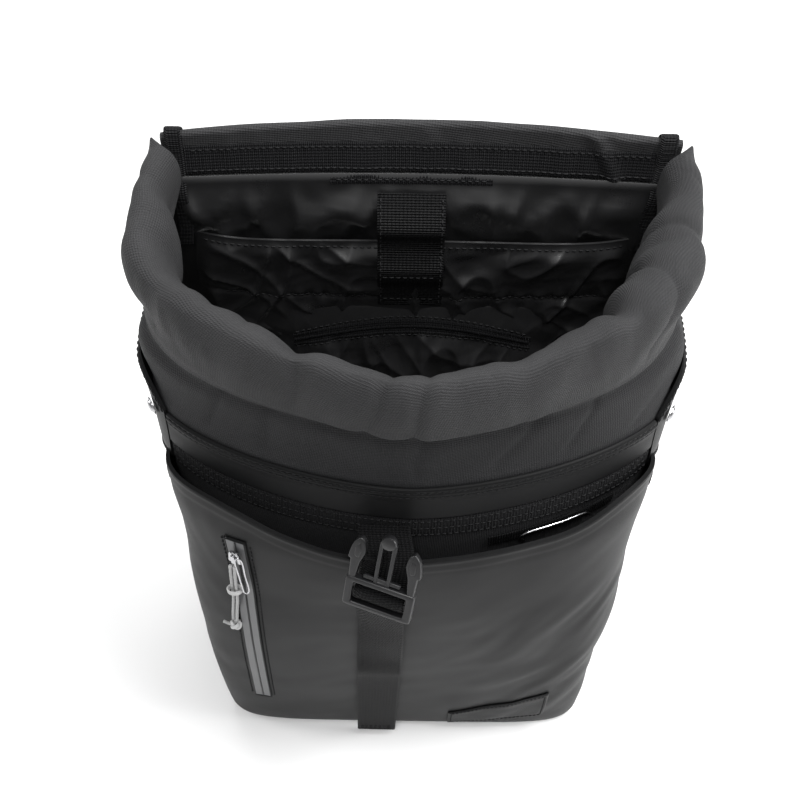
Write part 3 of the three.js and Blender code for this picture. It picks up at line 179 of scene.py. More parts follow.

# %% [markdown]
# ## Helpers for tables, noise and meshes
#
# `read_table` interpolates smoothly between the rows of a table. `noise` is smooth
# seeded noise on a plane. Stretched along one direction it gives folds, and its
# absolute value gives creases. Nothing is random from one run to the next.
#
# `grid_faces` gives the faces of a grid of points, and `cloth` closes two grids into a
# piece with a real thickness. `cloth` writes a UV map that is measured in decimetres
# along the cloth, so a weave has the same size on every piece.


# %% Helpers for tables, noise and meshes
def read_table(columns, rows, column, at):
    table = np.array(rows, float)
    keys, values = table[:, 0], table[:, columns.index(column)]
    at = np.clip(np.asarray(at, float), keys[0], keys[-1])
    slopes = np.empty_like(values)
    slopes[1:-1] = (values[2:] - values[:-2]) / (keys[2:] - keys[:-2])
    slopes[0] = (values[1] - values[0]) / (keys[1] - keys[0])
    slopes[-1] = (values[-1] - values[-2]) / (keys[-1] - keys[-2])
    low = np.clip(np.searchsorted(keys, at, side="right") - 1, 0, len(keys) - 2)
    span = keys[low + 1] - keys[low]
    share = (at - keys[low]) / span
    squared, cubed = share**2, share**3
    return (
        (2 * cubed - 3 * squared + 1) * values[low]
        + (cubed - 2 * squared + share) * span * slopes[low]
        + (3 * squared - 2 * cubed) * values[low + 1]
        + (cubed - squared) * span * slopes[low + 1]
    )


def smooth(low, high, value):
    share = np.clip((np.asarray(value, float) - low) / (high - low), 0, 1)
    return share * share * (3 - 2 * share)


def bell(value, middle, reach):
    """A soft bump: 1 at the middle, and almost 0 at twice the reach."""
    return np.exp(-(((value - middle) / reach) ** 2))


def rounding(distance, reach):
    """A quarter circle: 0 at an edge, and 1 at this reach inside it."""
    return np.sqrt(np.clip(1 - (1 - np.clip(distance / reach, 0, 1)) ** 2, 0, 1))


def line_length(line):
    return float(np.linalg.norm(np.diff(line, axis=0), axis=1).sum())


def lengths_along(line):
    """The length from the start of a line to each of its points."""
    return np.r_[0, np.cumsum(np.linalg.norm(np.diff(line, axis=0), axis=1))]


def read_along(places, lengths, values):
    """The values of a line, such as its points, at these lengths along it."""
    columns = range(values.shape[1])
    return np.stack([np.interp(places, lengths, values[:, k]) for k in columns], -1)


NOISE_CELLS = 64


def noise(u, v, seed):
    """Smooth gradient noise between about -1 and 1, with a period of one unit."""
    cells = (NOISE_CELLS, NOISE_CELLS)
    directions = np.random.default_rng(seed).uniform(0, 2 * math.pi, cells)
    u, v = np.broadcast_arrays(np.asarray(u, float), np.asarray(v, float))
    low_u, low_v = np.floor(u).astype(int), np.floor(v).astype(int)
    part_u, part_v = u - low_u, v - low_v
    fade_u = part_u**3 * (part_u * (part_u * 6 - 15) + 10)
    fade_v = part_v**3 * (part_v * (part_v * 6 - 15) + 10)
    total = np.zeros(u.shape)
    for step_u, weight_u in ((0, 1 - fade_u), (1, fade_u)):
        for step_v, weight_v in ((0, 1 - fade_v), (1, fade_v)):
            angle = directions[(low_u + step_u) % NOISE_CELLS, (low_v + step_v) % NOISE_CELLS]
            slope = np.cos(angle) * (part_u - step_u) + np.sin(angle) * (part_v - step_v)
            total = total + slope * weight_u * weight_v
    return total * 1.5


def folds(u, v, seed, turn, across, along, octaves=2):
    """Folds that run along one direction of the cloth, all lengths in millimetres."""
    angle = math.radians(turn)
    lengthwise = u * math.cos(angle) + v * math.sin(angle)
    crosswise = v * math.cos(angle) - u * math.sin(angle)
    bend = 0.35 * across * noise(u / (2.5 * across), v / (2.5 * across), seed + 91)
    total, strength = 0.0, 1.0
    for octave in range(octaves):
        scale = 2.0**octave
        place = lengthwise * scale / along, (crosswise + bend) * scale / across
        part = noise(*place, seed + 7 * octave)
        total = total + strength * part
        strength *= 0.5
    return total


def creases(u, v, seed, turn, across, along):
    """Narrow raised creases with flat cloth between them."""
    value = folds(u, v, seed, turn, across, along, octaves=1)
    return np.clip(1 - 3.2 * np.abs(value), 0, 1) ** 2


SIDE_SPREAD, SPREAD_STARTS, SPREAD_ENDS = 6.3, (225, 315), (385, 425)


def settle(points):
    """The bag as it stands open: where its soft sides lean out and in a little."""
    points = np.array(points, float)
    x, y, z = points[..., 0].copy(), points[..., 1], points[..., 2]
    side = np.clip(np.abs(x) / WALL_HALF, 0, 1.1) ** 2
    left, right = side * (x < 0), side * (x > 0)
    # Both sides lean out between the pocket and the roll.
    spread = SIDE_SPREAD * smooth(*SPREAD_STARTS, z) * (1 - smooth(*SPREAD_ENDS, z))
    points[..., 0] += (right - left) * spread
    # The roll moves to the right at both sides, and its back right corner moves out.
    points[..., 0] += 4.0 * left * bell(z, 418, 26) * bell(y, -5, 45)
    points[..., 0] -= 9.0 * right * bell(z, 415, 30) * bell(y, -20, 45)
    points[..., 0] += 5.0 * right * smooth(425, 460, z) * smooth(20, 60, y)
    # The right side is a little hollow near the base.
    points[..., 0] -= 4.0 * right * side * bell(z, 110, 55)
    return points


def add_object(name, vertices, faces, uvs=None, sharp=50):
    mesh = bpy.data.meshes.new(name)
    mesh.from_pydata((settle(vertices) * MM).tolist(), [], [list(map(int, f)) for f in faces])
    if uvs is not None:
        layer = mesh.uv_layers.new(name="cloth")
        loops = np.empty(len(mesh.loops), np.int32)
        mesh.loops.foreach_get("vertex_index", loops)
        layer.data.foreach_set("uv", np.asarray(uvs, np.float32)[loops].ravel())
    mesh.polygons.foreach_set("use_smooth", [True] * len(mesh.polygons))
    if sharp:
        mesh.set_sharp_from_angle(angle=math.radians(sharp))
    mesh.update()
    made = bpy.data.objects.new(name, mesh)
    bpy.context.scene.collection.objects.link(made)
    return made


def grid_faces(rows, columns, offset=0, closed=False):
    steps = np.arange(rows - 1), np.arange(columns if closed else columns - 1)
    row, column = np.meshgrid(*steps, indexing="ij")
    low, high, after = row * columns, (row + 1) * columns, (column + 1) % columns
    corners = [low + column, high + column, high + after, low + after]
    return np.stack(corners, -1).reshape(-1, 4) + offset


def grid_uv(points):
    """Distances along the cloth in decimetres, from the first row and column."""
    across = np.linalg.norm(np.diff(points, axis=1), axis=2)
    down = np.linalg.norm(np.diff(points, axis=0), axis=2)
    u = np.concatenate([np.zeros((points.shape[0], 1)), np.cumsum(across, 1)], 1)
    v = np.concatenate([np.zeros((1, points.shape[1])), np.cumsum(down, 0)], 0)
    middle = points.shape[1] // 2
    u = u - u[:, middle : middle + 1]
    return np.stack([u, v], -1).reshape(-1, 2) / 100


def turned_out(vertices, faces):
    a, b, c = (vertices[faces[:, k]] for k in range(3))
    volume = np.einsum("ij,ij->i", a, np.cross(b, c)).sum()
    if faces.shape[1] == 4:
        d = vertices[faces[:, 3]]
        volume += np.einsum("ij,ij->i", a, np.cross(c, d)).sum()
    return faces[:, ::-1] if volume < 0 else faces


def capped_rings(vertices, rows, count, centre=0.0):
    """Faces round a stack of rings of points, with a cap at both ends."""
    plain = grid_faces(rows, count, closed=True)
    body = turned_out(vertices - centre, plain)
    low, high = list(range(count)), list(range((rows - 1) * count, rows * count))
    turned = tuple(body[0]) != tuple(plain[0])
    return body.tolist() + ([low[::-1], high] if turned else [low, high[::-1]])


def cloth(name, front, back, sharp=50):
    """A closed piece between two grids of points in millimetres."""
    rows, columns = front.shape[:2]
    count = rows * columns
    index = np.arange(count).reshape(rows, columns)
    rim = np.concatenate([index[0, :], index[1:, -1], index[-1, -2::-1], index[-2:0:-1, 0]])
    after = np.roll(rim, -1)
    sides = np.stack([rim, after, after + count, rim + count], -1)
    near, far = grid_faces(rows, columns), grid_faces(rows, columns, count)[:, ::-1]
    faces = np.concatenate([near, far, sides])
    vertices = np.concatenate([front.reshape(-1, 3), back.reshape(-1, 3)])
    uvs = np.concatenate([grid_uv(front)] * 2)
    return add_object(name, vertices, turned_out(vertices, faces), uvs, sharp)


def resample(line, count):
    line = np.asarray(line, float)
    lengths = lengths_along(line)
    return read_along(np.linspace(0, lengths[-1], count), lengths, line)


SPLINE_STEPS = 16


def smooth_line(points, count):
    """A centripetal spline through the points, cut into equal steps."""
    points = np.asarray(points, float)
    padded = np.concatenate([[2 * points[0] - points[1]], points, [2 * points[-1] - points[-2]]])
    line = []
    for index in range(len(points) - 1):
        p0, p1, p2, p3 = padded[index : index + 4]
        t1 = np.linalg.norm(p1 - p0) ** 0.5
        t2 = t1 + np.linalg.norm(p2 - p1) ** 0.5
        t3 = t2 + np.linalg.norm(p3 - p2) ** 0.5
        for t in np.linspace(t1, t2, SPLINE_STEPS, endpoint=False):
            a1 = (t1 - t) / t1 * p0 + t / t1 * p1
            a2 = (t2 - t) / (t2 - t1) * p1 + (t - t1) / (t2 - t1) * p2
            a3 = (t3 - t) / (t3 - t2) * p2 + (t - t2) / (t3 - t2) * p3
            b1 = (t2 - t) / t2 * a1 + t / t2 * a2
            b2 = (t3 - t) / (t3 - t1) * a2 + (t - t1) / (t3 - t1) * a3
            line.append((t2 - t) / (t2 - t1) * b1 + (t - t1) / (t2 - t1) * b2)
    return resample(line + [points[-1]], count)


def tube(name, line, radius, sides=10, closed=False):
    """A round cord or wire along a line of points in millimetres."""
    line = np.asarray(line, float)
    if closed:
        tangents = np.roll(line, -1, 0) - np.roll(line, 1, 0)
    else:
        tangents = np.gradient(line, axis=0)
    tangents /= np.linalg.norm(tangents, axis=1, keepdims=True)
    side = np.cross(tangents[0], (0.3, 1.0, 0.2))
    angles = np.linspace(0, 2 * math.pi, sides, endpoint=False)
    cosines, sines = np.cos(angles)[:, None], np.sin(angles)[:, None]
    rings = []
    for point, tangent in zip(line, tangents):
        side = side - tangent * side.dot(tangent)
        side = side / np.linalg.norm(side)
        rings.append(point + radius * (cosines * side + sines * np.cross(tangent, side)))
    rings = np.array(rings)
    count, vertices = len(rings), rings.reshape(-1, 3)
    if not closed:
        around = np.tile(np.linspace(0, 1, sides), count)
        uvs = np.stack([around, np.repeat(np.arange(count) * 0.01, sides)], -1)
        return add_object(name, vertices, capped_rings(vertices, count, sides), uvs, 60)
    # The last ring meets the first one turned by a few points. The nearest turn is used.
    gaps = np.linalg.norm(rings[-1][None] - rings[0][:, None], axis=2)
    apart = [sum(gaps[k, (k + s) % sides] for k in range(sides)) for s in range(sides)]
    shift = int(np.argmin(apart))
    k, last = np.arange(sides), (count - 1) * sides
    ahead = last + (k + 1 + shift) % sides
    seam = np.stack([last + (k + shift) % sides, k, (k + 1) % sides, ahead], -1)
    faces = turned_out(vertices, np.concatenate([grid_faces(count, sides, closed=True), seam]))
    return add_object(name, vertices, faces, np.zeros((len(vertices), 2)), 60)


def finish_piece(piece, material, slot, *nodes):
    piece.data.materials.clear()
    piece.data.materials.append(material)
    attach(piece, "root")
    if nodes:
        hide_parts(*nodes)
    return piece


print("helpers ready")

# %% [markdown]
# ## Pull cord
#
# The light cord is looped through the zip slider. Two strands hang down, pass the
# small collar and end in a knot. Its points are the CAD's own, as offsets from the
# slider.

# %% Pull cord
SLIDER = (-103.46, -71.50, 273.99)
CORD_DIAMETER, CORD_STEPS, CORD_SIDES = 2.2, 90, 12
CORD_LEFT = [
    (-3.5, -2.3, -6.7),
    (-4.7, -2.9, -16.0),
    (-5.9, -3.1, -26.0),
    (-6.9, -3.2, -36.0),
    (-8.1, -3.1, -48.0),
    (-9.7, -2.9, -60.0),
    (-11.3, -3.0, -72.0),
    (-12.2, -3.2, -80.4),
]
CORD_RIGHT = [
    (-0.9, -3.1, -6.7),
    (-2.1, -3.9, -16.0),
    (-3.3, -4.3, -26.0),
    (-4.3, -4.4, -36.0),
    (-5.5, -4.4, -48.0),
    (-7.1, -4.2, -60.0),
    (-8.7, -4.2, -72.0),
    (-9.6, -4.3, -80.4),
]


def strand(name, offsets):
    """One strand of the cord. Its surface swells in a spiral, as a twisted cord does."""
    line = smooth_line([np.add(SLIDER, offset) for offset in offsets], CORD_STEPS)
    piece = tube(name, line, CORD_DIAMETER / 2, CORD_SIDES)
    line = settle(line)
    steps, sides = np.arange(CORD_STEPS)[:, None], np.arange(CORD_SIDES)[None, :]
    spiral = steps * 1.1 + sides * math.pi / 3
    places = np.array([vertex.co for vertex in piece.data.vertices])
    places = places.reshape(CORD_STEPS, CORD_SIDES, 3)
    centres = line[:, None] * MM
    swell = 1 + 0.07 * np.sin(spiral)[..., None]
    piece.data.vertices.foreach_set("co", (centres + (places - centres) * swell).ravel())
    exit_point = [x * MM for x in line[0]]
    path = [[float(x) * MM for x in point] for point in line]
    return piece, exit_point, line_length(line) * MM, path


cord_pieces = [strand("cord_strand_left", CORD_LEFT), strand("cord_strand_right", CORD_RIGHT)]
print("strand lengths in metres:", [round(length, 4) for _, _, length, _ in cord_pieces])

# %% [markdown]
# ## The wall of the bag
#
# `wall` gives a point of the front and side wall from its share along the wall (0 at
# the left back edge, 1 at the right one), its height, and how far it is moved outward.
# The outlines are worked out once on a fine grid and then interpolated.

# %% The wall of the bag
WALL_STEPS, WALL_LEVELS = 720, 240


def outline(height):
    read = lambda column: read_table(WALL_COLUMNS, WALL_ROWS, column, height / BODY_HEIGHT)
    half, back_half = read("half") * WALL_HALF, read("back_half") * WALL_HALF
    corner = read("corner") * WALL_FRONT
    depth = read("front") * WALL_FRONT + corner
    power = 2 / read("square")
    angle = np.pi * (np.linspace(0, 1, 1441) - 0.5)
    x = np.sign(angle) * half * np.abs(np.sin(angle)) ** power
    y = corner - depth * np.maximum(np.cos(angle), 0) ** power
    line = np.stack([np.r_[-back_half, x, back_half], np.r_[SIDE_END, y, SIDE_END]], -1)
    return resample(line, WALL_STEPS + 1)


levels = np.linspace(0, BODY_HEIGHT, WALL_LEVELS + 1)
OUTLINES = np.array([outline(level) for level in levels])
spans = np.roll(OUTLINES, -10, 1) - np.roll(OUTLINES, 10, 1)
spans[:, :10] = OUTLINES[:, 10:20] - OUTLINES[:, :10]
spans[:, -10:] = OUTLINES[:, -10:] - OUTLINES[:, -20:-10]
spans /= np.linalg.norm(spans, axis=2, keepdims=True)
NORMALS = np.stack([spans[..., 1], -spans[..., 0]], -1)
WALL_LENGTH = line_length(OUTLINES[WALL_LEVELS // 2])


def wall(along, height, outward=0.0):
    """Points of the wall, moved outward from its outer face."""
    given = (np.asarray(x, float) for x in (along, height, outward))
    along, height, outward = np.broadcast_arrays(*given)
    level = np.clip(height / BODY_HEIGHT * WALL_LEVELS, 0, WALL_LEVELS - 1e-6)
    step = np.clip(along * WALL_STEPS, 0, WALL_STEPS - 1e-6)
    row, column = level.astype(int), step.astype(int)
    up, on = (level - row)[..., None], (step - column)[..., None]

    def read(table):
        low = table[row, column] * (1 - on) + table[row, column + 1] * on
        high = table[row + 1, column] * (1 - on) + table[row + 1, column + 1] * on
        return low * (1 - up) + high * up

    flat = read(OUTLINES) + read(NORMALS) * outward[..., None]
    return np.concatenate([flat, height[..., None]], -1)


def crease(along):
    return BODY_HEIGHT - read_table(ROLL_COLUMNS, ROLL_ROWS, "crease", along) * COLLAR_DROP


def pocket_out(along, height):
    place = np.abs(np.asarray(along) - 0.5) / (0.5 - POCKET_MOUTH_END)
    spread = np.clip(1 - place**8, 0, 1)
    bulge = read_table(POCKET_COLUMNS, POCKET_ROWS, "bulge", height / POCKET_TOP)
    return LAYER_GAP + POCKET_BULGE * spread * bulge


def bow(x, height):
    rise = np.clip((np.asarray(height) - BOW_START) / (BODY_HEIGHT - BOW_START), 0, None)
    share = np.clip(np.abs(x) / WALL_HALF, 0, 1)
    return BACK_BOW * rise * rise * (1 - share * share)


def along_for_x(x, height, outward_at=None):
    """Share along the wall where its front has this x at this height."""
    x, height = np.broadcast_arrays(np.asarray(x, float), np.asarray(height, float))
    shares = np.linspace(0.14, 0.86, 433)
    result = np.empty(x.shape)
    for index in np.ndindex(x.shape):
        outward = outward_at(shares, height[index]) if outward_at else 0.0
        line = wall(shares, np.full(shares.shape, height[index]), outward)
        result[index] = np.interp(x[index], line[:, 0], shares)
    return result


print("wall length", round(WALL_LENGTH), "mm")

# %% [markdown]
# ## Materials
#
# Each material is a small network of procedural nodes. The shared patterns are node
# groups that give out only masks and heights: `weave` for the woven cloth, `rib` for
# ribbed tape, webbing, thread and cord. Slow changes in colour and shine come from noise
# in each material. The shader itself stays in the material, where its constants are set
# on its own sockets.
#
# Coordinates come from the cloth's UV map, or from the object's own space for hard
# pieces.

# %% Materials


def value_group(name, outputs):
    """A node group that takes a place on the cloth and a scale, and gives out values."""
    group = bpy.data.node_groups.new(name, "ShaderNodeTree")
    for label, kind in (("Vector", "NodeSocketVector"), ("Scale", "NodeSocketFloat")):
        group.interface.new_socket(label, in_out="INPUT", socket_type=kind)
    for label in outputs:
        group.interface.new_socket(label, in_out="OUTPUT", socket_type="NodeSocketFloat")
    return group, group.nodes.new("NodeGroupInput"), group.nodes.new("NodeGroupOutput")


def math_node(tree, operation, first, second=None, clamp=False):
    node = tree.nodes.new("ShaderNodeMath")
    node.operation, node.use_clamp = operation, clamp
    for index, value in enumerate((first, second)):
        if value is None:
            continue
        if isinstance(value, (int, float)):
            node.inputs[index].default_value = value
        else:
            tree.links.new(value, node.inputs[index])
    return node.outputs[0]


def noise_node(tree, vector, scale, detail=3.0, roughness=0.55):
    node = tree.nodes.new("ShaderNodeTexNoise")
    node.inputs["Scale"].default_value = scale
    node.inputs["Detail"].default_value = detail
    node.inputs["Roughness"].default_value = roughness
    tree.links.new(vector, node.inputs["Vector"])
    return node.outputs["Fac"]


def wave(group, given, axis, turns):
    """A sine wave along one axis, with this many turns in one step of the scale."""
    split = group.nodes.new("ShaderNodeSeparateXYZ")
    group.links.new(given.outputs["Vector"], split.inputs[0])
    scaled = math_node(group, "MULTIPLY", split.outputs[axis], given.outputs["Scale"])
    return math_node(group, "SINE", math_node(group, "MULTIPLY", scaled, turns * 2 * math.pi))


def make_weave():
    """Plain weave: threads over and under, with a height and a mask of gaps."""
    group, given, out = value_group("weave", ("Height", "Thread"))
    checks = math_node(group, "MULTIPLY", wave(group, given, 0, 1.0), wave(group, given, 1, 1.0))
    fine = noise_node(group, given.outputs["Vector"], 260.0, 2.0)
    height = math_node(group, "ADD", math_node(group, "MULTIPLY", checks, 0.5), fine)
    thread = math_node(group, "MULTIPLY", height, 0.8, clamp=True)
    group.links.new(height, out.inputs["Height"])
    group.links.new(thread, out.inputs["Thread"])
    return group


def make_rib():
    """Ribs across a tape or webbing, with a finer thread between them."""
    group, given, out = value_group("rib", ("Height",))
    threads = math_node(group, "MULTIPLY", wave(group, given, 0, 0.7), 0.5)
    ribs = math_node(group, "ADD", wave(group, given, 1, 1.0), threads)
    fine = noise_node(group, given.outputs["Vector"], 200.0, 2.0)
    group.links.new(math_node(group, "ADD", ribs, fine), out.inputs["Height"])
    return group


WEAVE, RIB = make_weave(), make_rib()


def new_material(name, dark, light):
    """A material whose colour is a blend of two, and the socket that blends them."""
    material = bpy.data.materials.new(name)
    material.use_nodes = True
    tree = material.node_tree
    shader = tree.nodes["Principled BSDF"]
    mix = tree.nodes.new("ShaderNodeMix")
    mix.data_type = "RGBA"
    mix.inputs["A"].default_value = (*dark, 1)
    mix.inputs["B"].default_value = (*light, 1)
    tree.links.new(mix.outputs["Result"], shader.inputs["Base Color"])
    return material, tree, shader, mix.inputs["Factor"]


def add_relief(tree, shader, height, strength, distance):
    """A Bump node: the height turns the shading, and the mesh stays as it is."""
    bump = tree.nodes.new("ShaderNodeBump")
    bump.inputs["Strength"].default_value = strength
    bump.inputs["Distance"].default_value = distance
    tree.links.new(height, bump.inputs["Height"])
    tree.links.new(bump.outputs["Normal"], shader.inputs["Normal"])


def weighted_sum(tree, first, first_weight, second, second_weight):
    weighted = math_node(tree, "MULTIPLY", second, second_weight)
    return math_node(tree, "ADD", math_node(tree, "MULTIPLY", first, first_weight), weighted)


YARN_STRAY, WEAVE_TURN = 0.004, math.radians(38)


def strayed(tree, vector):
    """The same place on the cloth, moved a little by noise, so no thread is straight."""
    stray = tree.nodes.new("ShaderNodeTexNoise")
    stray.inputs["Scale"].default_value = 30.0
    stray.inputs["Detail"].default_value = 2.0
    tree.links.new(vector, stray.inputs["Vector"])
    yarn = tree.nodes.new("ShaderNodeVectorMath")
    yarn.operation = "MULTIPLY_ADD"
    yarn.inputs[1].default_value = (YARN_STRAY, YARN_STRAY, 0.0)
    tree.links.new(stray.outputs["Color"], yarn.inputs[0])
    tree.links.new(vector, yarn.inputs[2])
    turned = tree.nodes.new("ShaderNodeMapping")
    turned.inputs["Rotation"].default_value = (0, 0, WEAVE_TURN)
    tree.links.new(yarn.outputs["Vector"], turned.inputs["Vector"])
    return turned.outputs["Vector"]


ROUGH_SPREAD = 0.12


def cloth_material(
    name, dark, light, rough, relief, pattern, scale, mottle, sheen=0.0, specular=0.5
):
    """Cloth: a pattern with its relief, specks in its colour, and slow changes in shine."""
    material, tree, shader, factor = new_material(name, dark, light)
    place = tree.nodes.new("ShaderNodeUVMap")
    place.uv_map = "cloth"
    vector = place.outputs["UV"]
    slow = noise_node(tree, vector, mottle * 0.1, 4.0, 0.6)
    speck = noise_node(tree, vector, mottle * 4.0, 2.0, 0.5)
    group = tree.nodes.new("ShaderNodeGroup")
    group.node_tree = pattern
    group.inputs["Scale"].default_value = scale
    tree.links.new(strayed(tree, vector) if pattern == WEAVE else vector, group.inputs["Vector"])
    height = group.outputs["Height"]
    mottled = weighted_sum(tree, slow, 0.5, speck, 0.5)
    blend = weighted_sum(tree, mottled, 0.6, height, 0.25)
    tree.links.new(math_node(tree, "MULTIPLY", blend, 1.0, clamp=True), factor)
    add_relief(tree, shader, height, relief, 0.0006)
    change = math_node(tree, "MULTIPLY", slow, ROUGH_SPREAD)
    roughness = math_node(tree, "ADD", change, rough - ROUGH_SPREAD / 2)
    tree.links.new(roughness, shader.inputs["Roughness"])
    shader.inputs["Specular IOR Level"].default_value = specular
    shader.inputs["Sheen Weight"].default_value = sheen
    shader.inputs["Sheen Roughness"].default_value = 0.4
    return material


def hard_material(name, dark, light, rough, metallic=0.0, relief=0.05, scale=900.0):
    """Plastic or metal: fine grain in its shine and relief, and slow changes in colour."""
    material, tree, shader, factor = new_material(name, dark, light)
    vector = tree.nodes.new("ShaderNodeTexCoord").outputs["Object"]
    fine = noise_node(tree, vector, scale, 3.0)
    tree.links.new(noise_node(tree, vector, scale * 0.12, 3.0), factor)
    roughness = math_node(tree, "ADD", math_node(tree, "MULTIPLY", fine, 0.14), rough - 0.07)
    tree.links.new(roughness, shader.inputs["Roughness"])
    add_relief(tree, shader, fine, relief, 0.0002)
    shader.inputs["Metallic"].default_value = metallic
    return material


WOVEN = cloth_material(
    "woven outer cloth", (0.006, 0.006, 0.0065), (0.066, 0.066, 0.068), 0.62, 0.7, WEAVE, 50.0,
    26.0, sheen=0.02, specular=0.14
)
# Painted shade: the wall is the same woven cloth as the roll, in a darker copy, so that the wall
# under the roll reads as shaded.
WALL_CLOTH_PAINTED_SHADE = cloth_material(
    "woven wall cloth with painted shade", (0.004, 0.004, 0.0045), (0.046, 0.046, 0.048), 0.64, 0.7, WEAVE, 50.0, 26.0,
    sheen=0.02, specular=0.10
)
COATED = cloth_material(
    "coated cloth", (0.0055, 0.0056, 0.0058), (0.0105, 0.0106, 0.011), 0.44, 0.08, WEAVE, 140.0,
    18.0, specular=0.09
)
SATIN = cloth_material(
    "satin lining", (0.007, 0.007, 0.0075), (0.019, 0.019, 0.0195), 0.29, 0.10, WEAVE, 220.0, 22.0,
    specular=1.0
)
WEBBING = cloth_material(
    "black webbing", (0.002, 0.002, 0.0022), (0.009, 0.009, 0.0095), 0.5, 0.6, RIB, 65.0, 40.0,
    sheen=0.01, specular=0.08
)
TAPE = cloth_material(
    "ribbed tape", (0.003, 0.003, 0.0035), (0.013, 0.013, 0.014), 0.6, 0.6, RIB, 85.0, 40.0,
    sheen=0.02, specular=0.12
)
THREAD = cloth_material(
    "sewing thread", (0.008, 0.008, 0.0085), (0.022, 0.022, 0.023), 0.7, 0.3, RIB, 120.0, 60.0,
    specular=0.15
)
ZIP_TAPE = cloth_material(
    "coated zip tape", (0.070, 0.071, 0.074), (0.115, 0.116, 0.120), 0.42, 0.1, WEAVE, 140.0, 30.0
)
CORD = cloth_material(
    "cord fibre", (0.36, 0.36, 0.36), (0.62, 0.62, 0.62), 0.62, 0.5, RIB, 90.0, 60.0
)
PLASTIC = hard_material(
    "black plastic", (0.006, 0.006, 0.0065), (0.012, 0.012, 0.013), 0.36, relief=0.12
)
CHROME = hard_material("plated metal", (0.36, 0.36, 0.37), (0.5, 0.5, 0.51), 0.24, metallic=1.0)
print("materials:", len(bpy.data.materials))

# %% [markdown]
# ## Base and wall
#
# The walls are closed sheets with real thickness. The height rows follow the crease of
# the roll, and soft dents move the cloth in and out by a millimetre or two. The dents
# fade out where another layer lies on the wall, so that no layers cross.

# %% Base and wall
BLACK_FABRIC, COATED_SLOT = "outer_fabric", "coated_fabric"
SATIN_SLOT, WEBBING_SLOT = "satin_lining", "black_webbing"


def upper_dents(along, height):
    """Dents of the woven upper wall, between the band and the roll."""
    u, v = np.asarray(along) * WALL_LENGTH, np.asarray(height, float)
    free = smooth(BAND_TOP + 2, BAND_TOP + 14, v)
    side = 1 - smooth(0.0, 0.05, along) * (1 - smooth(0.95, 1.0, along))
    pull = -1.3 * creases(u, v, 11, 62, 46, 150) * (1 - side) + 1.6 * folds(u, v, 12, 20, 60, 120)
    tuck = -2.2 * bell(crease(along) - v, 6, 4.5)
    return (free * (pull - 0.6) + tuck) * (1 - side)


def make_wall():
    along = np.linspace(0, 1, 361)[None, :]
    rows = np.linspace(0, 1, 110)[:, None]
    heights = WALL_FOOT + (crease(along) - WALL_FOOT) * rows
    along = np.broadcast_to(along, heights.shape)
    dents = upper_dents(along, heights)
    return cloth("wall", wall(along, heights, dents), wall(along, heights, dents - WALL_CLOTH))


BASE_EDGE = ((0, 3.0), (0.5, 1.6), (1.4, 0.7), (2.6, 0.15), (4.0, 0.0))


def make_base():
    """Rings of the base, each at its height and with its inset from the edge."""
    along = np.linspace(0, 1, 241)
    rings = []
    for height, inset in BASE_EDGE:
        line = wall(along, np.full(along.shape, BASE_PLATE), PANEL_CLOTH + LAYER_GAP - inset)
        line[:, 2] = height
        half, corner = line[-1, 0], BACK_FACE - inset
        back = np.stack(
            [np.linspace(half, -half, 40), np.full(40, corner), np.full(40, height)], -1
        )
        rings.append(np.concatenate([line, back]))
    rings = np.array(rings)
    count = rings.shape[1]
    vertices = rings.reshape(-1, 3)
    faces = capped_rings(vertices, len(rings), count)
    return add_object("base", vertices, faces, vertices[:, :2] / 100, 40)


# The wall takes the darker copy of the woven cloth: painted shade under the roll.
finish_piece(make_wall(), WALL_CLOTH_PAINTED_SHADE, BLACK_FABRIC, "body_wall")
finish_piece(make_base(), COATED, COATED_SLOT, "base_panel")
print("base and wall made")

# %% [markdown]
# ## Front pocket, band, binding and side tabs
#
# The pocket panel stands off the wall and carries long soft wrinkles, strongest in its
# lower right part. Its top edge is turned over, so it is thick and round, and it rises
# towards the corners.
#
# `stitch` lists real stitches along a line on any surface: short rounded bars of thread
# with small gaps. `sew` makes one mesh of all that were listed. A texture of stitches
# would be quicker, but it would lie flat where the photograph is close. `on_wall` gives
# a line on the wall with its outward directions.

# %% Front pocket, band, binding and side tabs


# Place along a stitch, its thickness there, and its height.
STITCH_PROFILE = (
    (0.0, 0.25, -0.1),
    (0.14, 0.9, 0.55),
    (0.5, 1.0, 0.9),
    (0.86, 0.9, 0.55),
    (1.0, 0.25, -0.1),
)


def stitch_mesh(name, starts, ends, normals, width=0.75, lift=0.35):
    """Rounded bars of thread from starts to ends, lying on the surface."""
    starts, ends, normals = (np.asarray(x, float) for x in (starts, ends, normals))
    run = ends - starts
    along = run / np.linalg.norm(run, axis=1, keepdims=True)
    side = np.cross(normals, along)
    side /= np.linalg.norm(side, axis=1, keepdims=True)
    up = np.cross(along, side)
    rings = []
    for place, size, rise in STITCH_PROFILE:
        centre = starts + run * place + up * lift * rise
        for turn in (math.radians(angle + 45) for angle in (0, 90, 180, 270)):
            sideways = side * math.cos(turn) * width * 0.7 * size
            rings.append(centre + sideways + up * math.sin(turn) * width * 0.55 * size)
    vertices = np.stack(rings, 1)
    count, each = vertices.shape[:2]
    bars = grid_faces(len(STITCH_PROFILE), 4, closed=True)[:, ::-1]
    pattern = np.concatenate([bars, [[0, 1, 2, 3]], [[19, 18, 17, 16]]])
    faces = (pattern[None] + (np.arange(count) * each)[:, None, None]).reshape(-1, 4)
    flat = vertices.reshape(-1, 3)
    return add_object(name, flat, faces, flat[:, [0, 2]] / 100, None)


